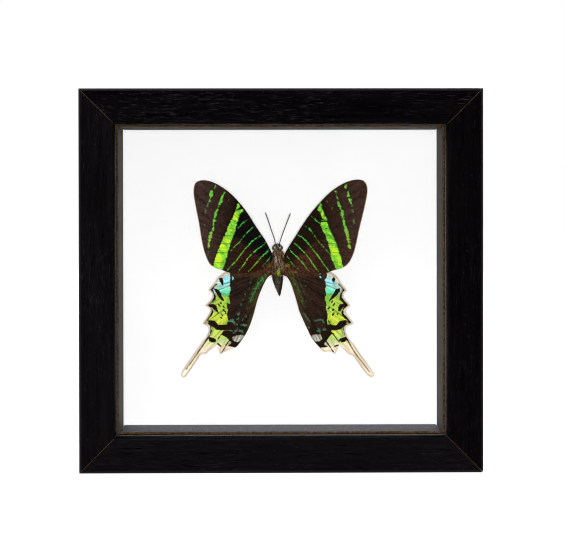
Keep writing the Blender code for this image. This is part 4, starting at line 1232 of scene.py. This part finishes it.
def at_levels(profile, levels):
    """Middle u, half width and half depth at each level, from rows of these that start with v."""
    rows = np.array(sorted(profile), float)
    return [np.interp(levels, rows[:, 0], rows[:, k]) for k in (1, 2, 3)]


def body_rings(profile, sides=40, steps=70):
    """Rings around a body whose profile is (v, middle u, half width, half depth) rows."""
    levels = np.linspace(profile[0][0], profile[-1][0], steps)
    u, wide, deep = at_levels(profile, levels)
    turn = 2 * np.pi * np.arange(sides) / sides
    rings = []
    for i, level in enumerate(levels):
        across = u[i] + wide[i] * np.cos(turn)
        rings.append(np.stack([across, np.full(sides, level), deep[i] * np.sin(turn)], axis=1))
    return rings


def skin_points(count, profile):
    """Random points on the front half of such a body, with their outward ways, (u, v, w)."""
    level = RANDOM.uniform(profile[-1][0], profile[0][0], count)
    turn = RANDOM.uniform(-0.12 * math.pi, 1.12 * math.pi, count)
    u, wide, deep = at_levels(profile, level)
    rise = 0.1
    wide_above = at_levels(profile, level + rise)[1]
    places = np.stack([u + wide * np.cos(turn), level, deep * np.sin(turn)], axis=1)
    out = np.stack([np.cos(turn), (wide - wide_above) / rise * 0.6, np.sin(turn)], axis=1)
    return places, out / np.linalg.norm(out, axis=1)[:, None]


def ball_profile(centre, radii, steps=15):
    """Profile rows of an ellipsoid at (u, v)."""
    turns = [math.pi * (i + 0.15) / (steps + 0.3) for i in range(steps + 1)]
    return [
        (centre[1] + radii[1] * math.cos(t), centre[0], radii[0] * math.sin(t),
         radii[2] * math.sin(t)) for t in turns
    ]


def skin_object(name, rings, tint, material, slot_name, *replaced):
    """The closed skin under a coat, with the tint that the coat's material reads."""
    made = loft(name, rings, material)
    add_attribute(made, "tint", np.full(len(made.data.vertices), tint))
    return finish_piece(made, slot_name, *replaced)


def hair_material(name, dark, middle, light, roughness=0.75):
    """Hair-scales in three tones, with the pale and green patches that some of them carry."""
    s = Shading(name)
    grain = s.noise(s.stretched(3000), detail=2)
    clump = s.noise(s.stretched((1300, 900, 700)), detail=2)
    tone = s.plus(s.times(s.attribute("tint"), 0.42), s.times(grain, 0.2))
    tone = s.plus(tone, s.times(s.step(clump, 0.36, 0.62), 0.5))
    colour = s.ramp(tone, [(0.2, dark), (0.58, middle), (0.95, light)])
    colour = s.mix(s.attribute("dark"), colour, srgb(30, 26, 22))
    colour = s.mix(s.attribute("pale"), colour, srgb(222, 208, 196))
    colour = s.mix(s.attribute("blue"), colour, srgb(136, 188, 156))
    colour = s.mix(s.attribute("green"), colour, srgb(178, 220, 44))
    s.set(Base_Color=colour, Roughness=roughness, Specular_IOR_Level=0.3)
    s.bump(grain, 0.2, 0.00004)
    return s.material


# Dark, middle and light tone of each kind of hair
BODY_TONES = (srgb(22, 12, 7), srgb(88, 60, 38), srgb(190, 154, 118))
COLLAR_TONES = (srgb(40, 38, 22), srgb(92, 88, 52), srgb(146, 128, 88))
TUFT_TONES = (srgb(26, 13, 8), srgb(78, 46, 30), srgb(152, 112, 70))
HEAD_TONES = (srgb(14, 12, 10), srgb(62, 58, 50), srgb(162, 156, 144))
# How many hairs each coat has. There are TUFT_HAIRS at each wing's root.
THORAX_HAIRS = 5600
COLLAR_HAIRS = 700
TUFT_HAIRS = 1300
HEAD_HAIRS = 1500
ABDOMEN_HAIRS = 3000
# Where the abdomen's first segment starts, and the length of a segment
ABDOMEN_TOP = -4.7
SEGMENT = 0.95


def patch_fields(uvw):
    """The pale and green patches of the thorax, as shares for each hair."""
    uv = uvw[:, :2]
    pale = inside_any(uv, [
        [(-0.82, 3.0, 0.4), (-0.72, 0.3, 0.45)], [(0.2, 2.6, 0.2), (0.28, 0.4, 0.25)],
        [(1.2, -0.8, 0.25), (1.2, -2.0, 0.25)],
        [(-1.6, 5.5, 0.6), (-1.4, 5.6, 0.6)], [(0.5, 5.5, 0.6), (0.7, 5.5, 0.6)],
    ], inside_stroke)
    dark = inside_any(uv, [
        [(-1.75, 2.8, 0.7), (-1.8, 0.4, 0.8)], [(-0.25, 2.9, 0.3), (-0.25, 0.6, 0.4)],
        [(-0.6, -1.4, 0.5), (-0.7, -4.0, 0.6)], [(0.7, -1.2, 0.3), (0.8, -3.6, 0.4)],
        [(1.7, 2.2, 0.4), (1.9, -0.4, 0.5)], [(-0.35, 6.7, 0.9), (-0.4, 6.2, 0.7)],
    ], inside_stroke)
    blue = inside_any(uv, [[(0.05, -1.8, 0.3), (0.0, -3.0, 0.8)]], inside_stroke)
    green = inside_any(uv, [
        [(0.05, -3.1, 1.1), (0.0, -4.5, 0.6)], [(-2.7, -0.9, 0.4), (-2.8, -1.2, 0.4)],
        [(2.6, -1.0, 0.5), (3.0, -1.1, 0.5)],
    ], inside_stroke)
    return {
        "pale": 0.85 * smoothstep(pale, -0.1, 0.12),
        "dark": 0.75 * smoothstep(dark, -0.15, 0.15),
        "blue": 0.8 * smoothstep(blue, -0.15, 0.15),
        "green": 0.9 * smoothstep(green, -0.15, 0.15),
    }


def combed(places, across, down, middle=0.0):
    """Ways for hairs at places: down the body, and outward by across for each millimetre that a
    place is off its middle."""
    return np.stack([across * (places[:, 0] - middle), down, 0 * places[:, 0]], axis=1)


def coat(name, places, out, comb, lift, lengths, width, material, slot_name, unruly=0.16):
    """Hairs that lie along comb and lift off the skin, in (u, v, w) millimetres. lift and lengths
    are the least and the most."""
    lift = RANDOM.uniform(*lift, len(places))
    lengths = RANDOM.uniform(*lengths, len(places))
    ways = comb - out * np.sum(comb * out, axis=1)[:, None]
    ways /= np.linalg.norm(ways, axis=1)[:, None] + 1e-9
    ways = ways + out * lift[:, None] + RANDOM.normal(0, unruly, ways.shape)
    bend = -out * 0.25 * lengths[:, None]
    made = hair_object(
        name, to_world(places), way_to_world(ways), lengths * MM, width * MM,
        way_to_world(bend) * MM, material,
        {"tint": RANDOM.uniform(0, 1, len(places)), **patch_fields(places)},
    )
    return finish_piece(made, slot_name)


# Bodies as rows of (v, middle u, half width, half depth), from the top down
THORAX_PROFILE = [
    (4.6, -0.1, 0.9, 0.9), (4.2, -0.1, 1.55, 1.4), (3.4, -0.1, 1.9, 1.8), (2.0, -0.1, 2.1, 2.1),
    (0.0, -0.1, 2.3, 2.3), (-2.0, -0.1, 2.35, 2.3), (-3.6, -0.2, 2.2, 2.1), (-4.6, -0.2, 1.9, 1.8),
    (-5.2, -0.3, 1.2, 1.2),
]
HEAD_MIDDLE = (-0.35, 5.65)
HEAD_PROFILE = ball_profile(HEAD_MIDDLE, (1.7, 1.35, 1.5))
ABDOMEN_PROFILE = [
    (-4.7, -0.3, 1.5, 1.5), (-5.2, -0.3, 1.95, 1.9), (-6.4, -0.25, 2.0, 1.95),
    (-7.6, -0.15, 1.75, 1.8), (-8.8, 0.0, 1.45, 1.55), (-10.0, 0.15, 1.1, 1.2),
    (-11.2, 0.3, 0.72, 0.8), (-12.2, 0.42, 0.4, 0.4), (-12.7, 0.45, 0.1, 0.1),
]


def build_thorax():
    material = hair_material("thorax_hair", *BODY_TONES)
    skin_object("thorax_skin", body_rings(THORAX_PROFILE), 0.1, material, "body_hair", "thorax")
    places, out = skin_points(THORAX_HAIRS, THORAX_PROFILE)
    comb = combed(places, 0.3, np.full(THORAX_HAIRS, -1.0))
    coat("thorax_coat", places, out, comb, (0.1, 0.5), (0.5, 1.5), 0.085, material,
         "body_hair", 0.4)
    collar_material = hair_material("collar_hair", *COLLAR_TONES)
    places, out = skin_points(COLLAR_HAIRS, [(4.9, -0.1, 1.3, 1.2), (3.5, -0.1, 1.9, 1.8)])
    comb = combed(places, 0.5, np.full(COLLAR_HAIRS, -1.0))
    coat("collar", places, out, comb, (0.1, 0.4), (0.5, 0.9), 0.08, collar_material, "body_hair")
    tuft_material = hair_material("root_hair", *TUFT_TONES)
    for side, wing_side in ((-1, "left"), (1, "right")):
        u = side * (1.6 + 7.4 * RANDOM.beta(1.0, 2.2, TUFT_HAIRS))
        spread = 1 - 0.085 * np.abs(u)
        v = -1.6 + RANDOM.normal(0, 1.5, TUFT_HAIRS) * spread - 0.22 * np.abs(u)
        clear = 0.95 - 0.04 * np.abs(u) - 0.55 * (v < -3.6)
        places = np.stack([u, v, clear + RANDOM.uniform(0.0, 0.4, TUFT_HAIRS)], axis=1)
        out = np.tile([0.0, 0.0, 1.0], (TUFT_HAIRS, 1))
        down = RANDOM.normal(-0.4, 0.4, TUFT_HAIRS)
        comb = np.stack([np.full(TUFT_HAIRS, side * 1.0), down, np.zeros(TUFT_HAIRS)], axis=1)
        coat(f"root_tuft_{wing_side}", places, out, comb, (-0.05, 0.2), (0.8, 2.6), 0.055,
             tuft_material, "body_hair", 0.3)


def build_head():
    material = hair_material("head_scales", *HEAD_TONES)
    skin_object("head_skin", body_rings(HEAD_PROFILE), 0.2, material, "head_grey", "head")
    places, out = skin_points(HEAD_HAIRS, HEAD_PROFILE)
    comb = combed(places, 0.5, places[:, 1] - 4.6, HEAD_MIDDLE[0])
    coat("head_coat", places, out, comb, (0.15, 0.6), (0.3, 0.7), 0.07, material, "head_grey")
    eye = Shading("faceted_eye")
    facets = eye.cells(eye.stretched(9000))
    eye.set(Base_Color=eye.ramp(facets, [(0.1, srgb(158, 150, 140)), (0.5, srgb(46, 40, 36))]))
    eye.set(Roughness=0.25, Coat_Weight=0.3)
    eye.bump(facets, 0.4, 0.00003)
    for side, u in (("left", -1.85), ("right", 1.15)):
        rings = body_rings(ball_profile((u, 5.55), (0.68, 0.85, 0.8)), 30, 30)
        rings = [ring + (0, 0, 0.35) for ring in rings]
        finish_piece(loft(f"eye_{side}", rings, eye.material), "head_grey")
    for side, lean in (("left", -0.25), ("right", 0.3)):
        path = [(lean, 6.3, 0.9), (lean * 1.4, 6.9, 1.1), (lean * 1.2, 7.25, 0.9)]
        path = smooth_path(path, 0.1)
        radii = np.interp(np.linspace(0, 1, len(path)), [0, 0.5, 1], [0.34, 0.3, 0.1])
        skin_object(f"palp_{side}", tube_rings(path, radii, 12), 0.35, material, "head_grey")


def build_abdomen():
    """Overlapping rings on a body that narrows to its tip, under short scales."""
    material = abdomen_material()
    rings = body_rings(ABDOMEN_PROFILE, steps=110)
    swollen = []
    for ring in rings:
        level = ring[0][1]
        swell = 1 + 0.05 * (1 - ((ABDOMEN_TOP - level) / SEGMENT % 1.0))
        middle = ring.mean(axis=0)
        swollen.append(middle + (ring - middle) * swell)
    skin_object("abdomen_skin", swollen, 0.3, material, "abdomen_dark", "abdomen")
    places, out = skin_points(ABDOMEN_HAIRS, ABDOMEN_PROFILE)
    comb = np.tile([0.08, -1.0, 0.0], (ABDOMEN_HAIRS, 1))
    coat("abdomen_coat", places, out, comb, (0.02, 0.22), (0.3, 0.6), 0.09, material,
         "abdomen_dark")


def abdomen_material():
    """Grey-olive scales down the middle, black sides, and a dark line behind each segment."""
    s = Shading("abdomen_scales")
    grain = s.noise(s.stretched(2600), detail=2)
    blotch = s.noise(s.stretched(900), detail=2)
    tone = s.plus(s.times(s.attribute("tint"), 0.5), s.plus(s.times(grain, 0.35),
                                                            s.times(blotch, 0.35)))
    colour = s.ramp(tone, [(0.38, srgb(14, 12, 8)), (0.6, srgb(62, 56, 40)),
                           (0.82, srgb(150, 140, 112))])
    middle = MOTH_X - 0.3 * MM
    across = s.math("ABSOLUTE", s.minus(s.axis("X"), middle))
    down = s.minus(MOTH_Z, s.axis("Z"))
    reach = s.minus(2.35 * MM, s.times(s.minus(down, 5.2 * MM), 0.24))
    side_black = s.step(s.over(across, reach), 0.5, 0.72)
    colour = s.mix(s.times(side_black, 0.85), colour, srgb(13, 11, 9))
    rings = s.math("FRACT", s.over(s.minus(down, -ABDOMEN_TOP * MM), SEGMENT * MM))
    colour = s.mix(s.times(s.step(rings, 0.72, 0.95), 0.45), colour, srgb(20, 17, 12))
    s.set(Base_Color=colour, Roughness=0.7, Specular_IOR_Level=0.3)
    s.bump(grain, 0.2, 0.00004)
    return s.material


ANTENNAE = {
    "antenna_left": [(-1.1, 7.0, 0.0), (-1.6, 9.3, 0.25), (-2.6, 12.2, 0.6), (-3.8, 15.9, 0.95),
                     (-5.0, 19.2, 1.2)],
    "antenna_right": [(0.4, 7.0, 0.0), (1.2, 9.8, 0.3), (2.2, 12.4, 0.6), (3.3, 15.4, 0.9),
                      (4.7, 18.9, 1.2)],
}


def build_antennae():
    s = Shading("ringed_thread")
    bands = s.noise(s.stretched((400, 400, 3600)), detail=2)
    s.set(Base_Color=s.ramp(bands, [(0.35, srgb(50, 24, 14)), (0.65, srgb(112, 72, 56))]))
    s.set(Roughness=0.6)
    s.bump(bands, 0.3, 0.00004)
    for name, points in ANTENNAE.items():
        path = smooth_path(points, 0.07)
        share = np.linspace(0, 1, len(path))
        swell = 1 + 0.22 * np.sin(np.arange(len(path)) * 2 * math.pi / 4)
        radii = (0.135 + 0.045 * share) * np.where(share > 0.98, 0.8, 1.0) * swell
        made = loft(name + "_ringed", tube_rings(path, radii, 8), s.material)
        made.data.flip_normals()
        finish_piece(made, "antenna_brown", name)


# Mitres


# Half of a mitre line's width, how far the line lies inside the wood's surface, and the share of
# a shift across it that goes along X and along Z, since a mitre runs at 45 degrees
MITRE_HALF = 0.07 * MM
MITRE_INSET = 0.04 * MM
SLANT = 0.7071
# The moulding's lip, and its rounded and bevelled edges
LIP = 5 * MM
ROUND_EDGE = 1.0 * MM
BACK_BEVEL = 0.5 * MM
ROUND_STEPS = 6


def build_mitres():
    """The line of bare wood in each mitre, as a thin plate of the moulding's own section."""
    material = mitre_material()
    low, high = CAD_BOX
    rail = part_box("rail_left")[1].x - low.x
    lip_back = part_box("glass_pane")[0].y - 0.3 * MM
    rebate = rail - LIP
    outer, inner = MITRE_INSET, rail - MITRE_INSET
    front, back = low.y + MITRE_INSET, high.y - MITRE_INSET
    turns = [math.pi / 2 * i / ROUND_STEPS for i in range(1, ROUND_STEPS)]
    section = [(outer, high.y - BACK_BEVEL), (outer, low.y + ROUND_EDGE)]
    for turn in turns:
        section.append((outer + ROUND_EDGE * (1 - math.cos(turn)),
                        front + ROUND_EDGE * (1 - math.sin(turn))))
    section += [(ROUND_EDGE, front), (rail - ROUND_EDGE, front)]
    for turn in turns:
        section.append((inner - ROUND_EDGE * (1 - math.sin(turn)),
                        front + ROUND_EDGE * (1 - math.cos(turn))))
    section += [(inner, low.y + ROUND_EDGE), (inner, lip_back), (rebate, lip_back),
                (rebate, back), (BACK_BEVEL, back)]
    for name, sx, sz in (("tl", -1, 1), ("tr", 1, 1), ("bl", -1, -1), ("br", 1, -1)):
        corner_x = high.x * sx
        corner_z = high.z if sz > 0 else low.z
        points = []
        for shift in (-MITRE_HALF, MITRE_HALF):
            for across, y in section:
                points.append((corner_x - sx * across + shift * sz * SLANT * sx,
                               y, corner_z - sz * across - shift * SLANT))
        count = len(section)
        faces = [tuple(range(count)), tuple(range(2 * count - 1, count - 1, -1))]
        faces += [(k, (k + 1) % count, (k + 1) % count + count, k + count) for k in range(count)]
        made = mesh_object("mitre_line_" + name, points, faces, material)
        made.data.shade_flat()
        finish_piece(made, "black_wood")


# The build


def refinish(material, *names):
    """Gives CAD nodes a better material."""
    for name in names:
        NODES[name].data.materials.clear()
        NODES[name].data.materials.append(material)


for rail_name, rail_finish in RAILS.items():
    refinish(wood_material("stained_" + rail_name, *rail_finish), rail_name)
refinish(glass_material(), "glass_pane")
NODES["glass_pane"].visible_shadow = False
refinish(spacer_material(), "spacer_top", "spacer_bottom", "spacer_left", "spacer_right")
refinish(board_material(), "mount_board")
refinish(hardboard_material(), "backboard")
refinish(
    steel_material(), "sawtooth_hanger", "rivet_left", "rivet_right",
    *[name for name in NODES if name.startswith("point_")],
)
refinish(foam_material(), "foam_block")

WING_FINISH = wing_material()
FRINGE_FINISH = fringe_material()
for wing_name, wing_drawing in WINGS.items():
    wing = Wing(wing_name, wing_drawing)
    wing.build(WING_FINISH)
    wing.build_fringe(FRINGE_FINISH)
build_thorax()
build_head()
build_abdomen()
build_antennae()
build_mitres()


# Floor, light and camera

# Half of the floor's width, in metres
FLOOR_HALF = 6.0
# The floor lies a hair below the frame, so that the two don't share a plane.
FLOOR_DROP = 0.0002
# The camera's place and turn, in metres and degrees, its lens in millimetres and its shift. They
# put the frame's outline where the photo has it, with the photo's slight tilt.
CAMERA_PLACE = (-0.0075, -0.396, 0.09475)
CAMERA_TURN = (89.75, 0.088, -0.371)
CAMERA_LENS = 65.60
CAMERA_SHIFT = (0.0256, -0.1026)
# What the world gives to the object as even fill, and what the camera sees behind it
DIM_FILL = (0.032, 0.032, 0.034, 1)
BACKDROP = (1.0, 1.0, 1.0, 1)


def stage_floor():
    """A pale floor that glows a little, so that it meets the white backdrop without a seam."""
    s = Shading("pale_floor")
    s.set(Base_Color=(0.9, 0.9, 0.9, 1), Roughness=0.9, Specular_IOR_Level=0.0)
    s.set(Emission_Color=(1, 1, 1, 1), Emission_Strength=1.0)
    half = FLOOR_HALF
    corners = [(-half, -half, 0), (half, -half, 0), (half, half, 0), (-half, half, 0)]
    floor = mesh_object("floor", corners, [(0, 1, 2, 3)], s.material)
    floor.location.z = -FLOOR_DROP
    floor.visible_glossy = False
    floor.visible_diffuse = False
    floor.visible_transmission = False


def area_light(name, place, size, power, colour=(1, 1, 1), mirrored=True, turn=None):
    """A soft light aimed at the middle of the frame, or turned as told. An unmirrored one makes
    no reflections."""
    data = bpy.data.lights.new(name, "AREA")
    data.shape = "RECTANGLE"
    data.size, data.size_y = size
    data.energy = power
    data.color = colour
    made = link_object(name, data)
    made.location = place
    aim = Vector((0, 0, MOTH_Z))
    made.rotation_euler = turn or (aim - Vector(place)).to_track_quat("-Z", "Y").to_euler()
    made.visible_camera = False
    made.visible_glossy = mirrored
    made.visible_transmission = False


def white_world():
    """White where the camera looks past the object, and a dim even fill for everything else."""
    world = bpy.data.worlds.new("studio")
    world.use_nodes = True
    tree = world.node_tree
    background = tree.nodes["Background"]
    path = tree.nodes.new("ShaderNodeLightPath")
    mix = tree.nodes.new("ShaderNodeMix")
    mix.data_type = "RGBA"
    mix.inputs[6].default_value = DIM_FILL
    mix.inputs[7].default_value = BACKDROP
    tree.links.new(path.outputs["Is Camera Ray"], mix.inputs[0])
    tree.links.new(mix.outputs[2], background.inputs["Color"])
    bpy.context.scene.world = world
    world.cycles_visibility.transmission = False


def camera():
    data = bpy.data.cameras.new("camera")
    data.lens = CAMERA_LENS
    data.sensor_width = 36.0
    data.shift_x, data.shift_y = CAMERA_SHIFT
    made = link_object("camera", data)
    made.location = CAMERA_PLACE
    made.rotation_euler = [math.radians(turn) for turn in CAMERA_TURN]
    data.clip_start = 0.01
    bpy.context.scene.camera = made


stage_floor()
# Each light's name, its place and size in metres, and its power in watts
area_light("front", (-0.014, -1.2, 0.098), (0.15, 0.15), 15.7, mirrored=False)
area_light("top", (-0.25, -0.35, 1.1), (0.7, 0.4), 3.6)
area_light("left", (-1.1, -0.45, 0.4), (0.4, 0.6), 1.2)
area_light("right", (1.1, -0.45, 0.4), (0.4, 0.6), 1.1)
area_light("back", (0.5, 1.1, 0.6), (0.7, 0.7), 14)
# A dim card lying in front, which the lower part of the frame's face mirrors faintly
area_light(
    "table_glow", (0, -0.115, 0.001), (0.7, 0.17), 0.06, (0.9, 0.93, 1.0), turn=(math.pi, 0, 0),
)
white_world()
camera()
# The photo's white is pure and its edges are crisp.
bpy.context.scene.view_settings.view_transform = "Standard"
bpy.context.scene.cycles.filter_width = 1.0
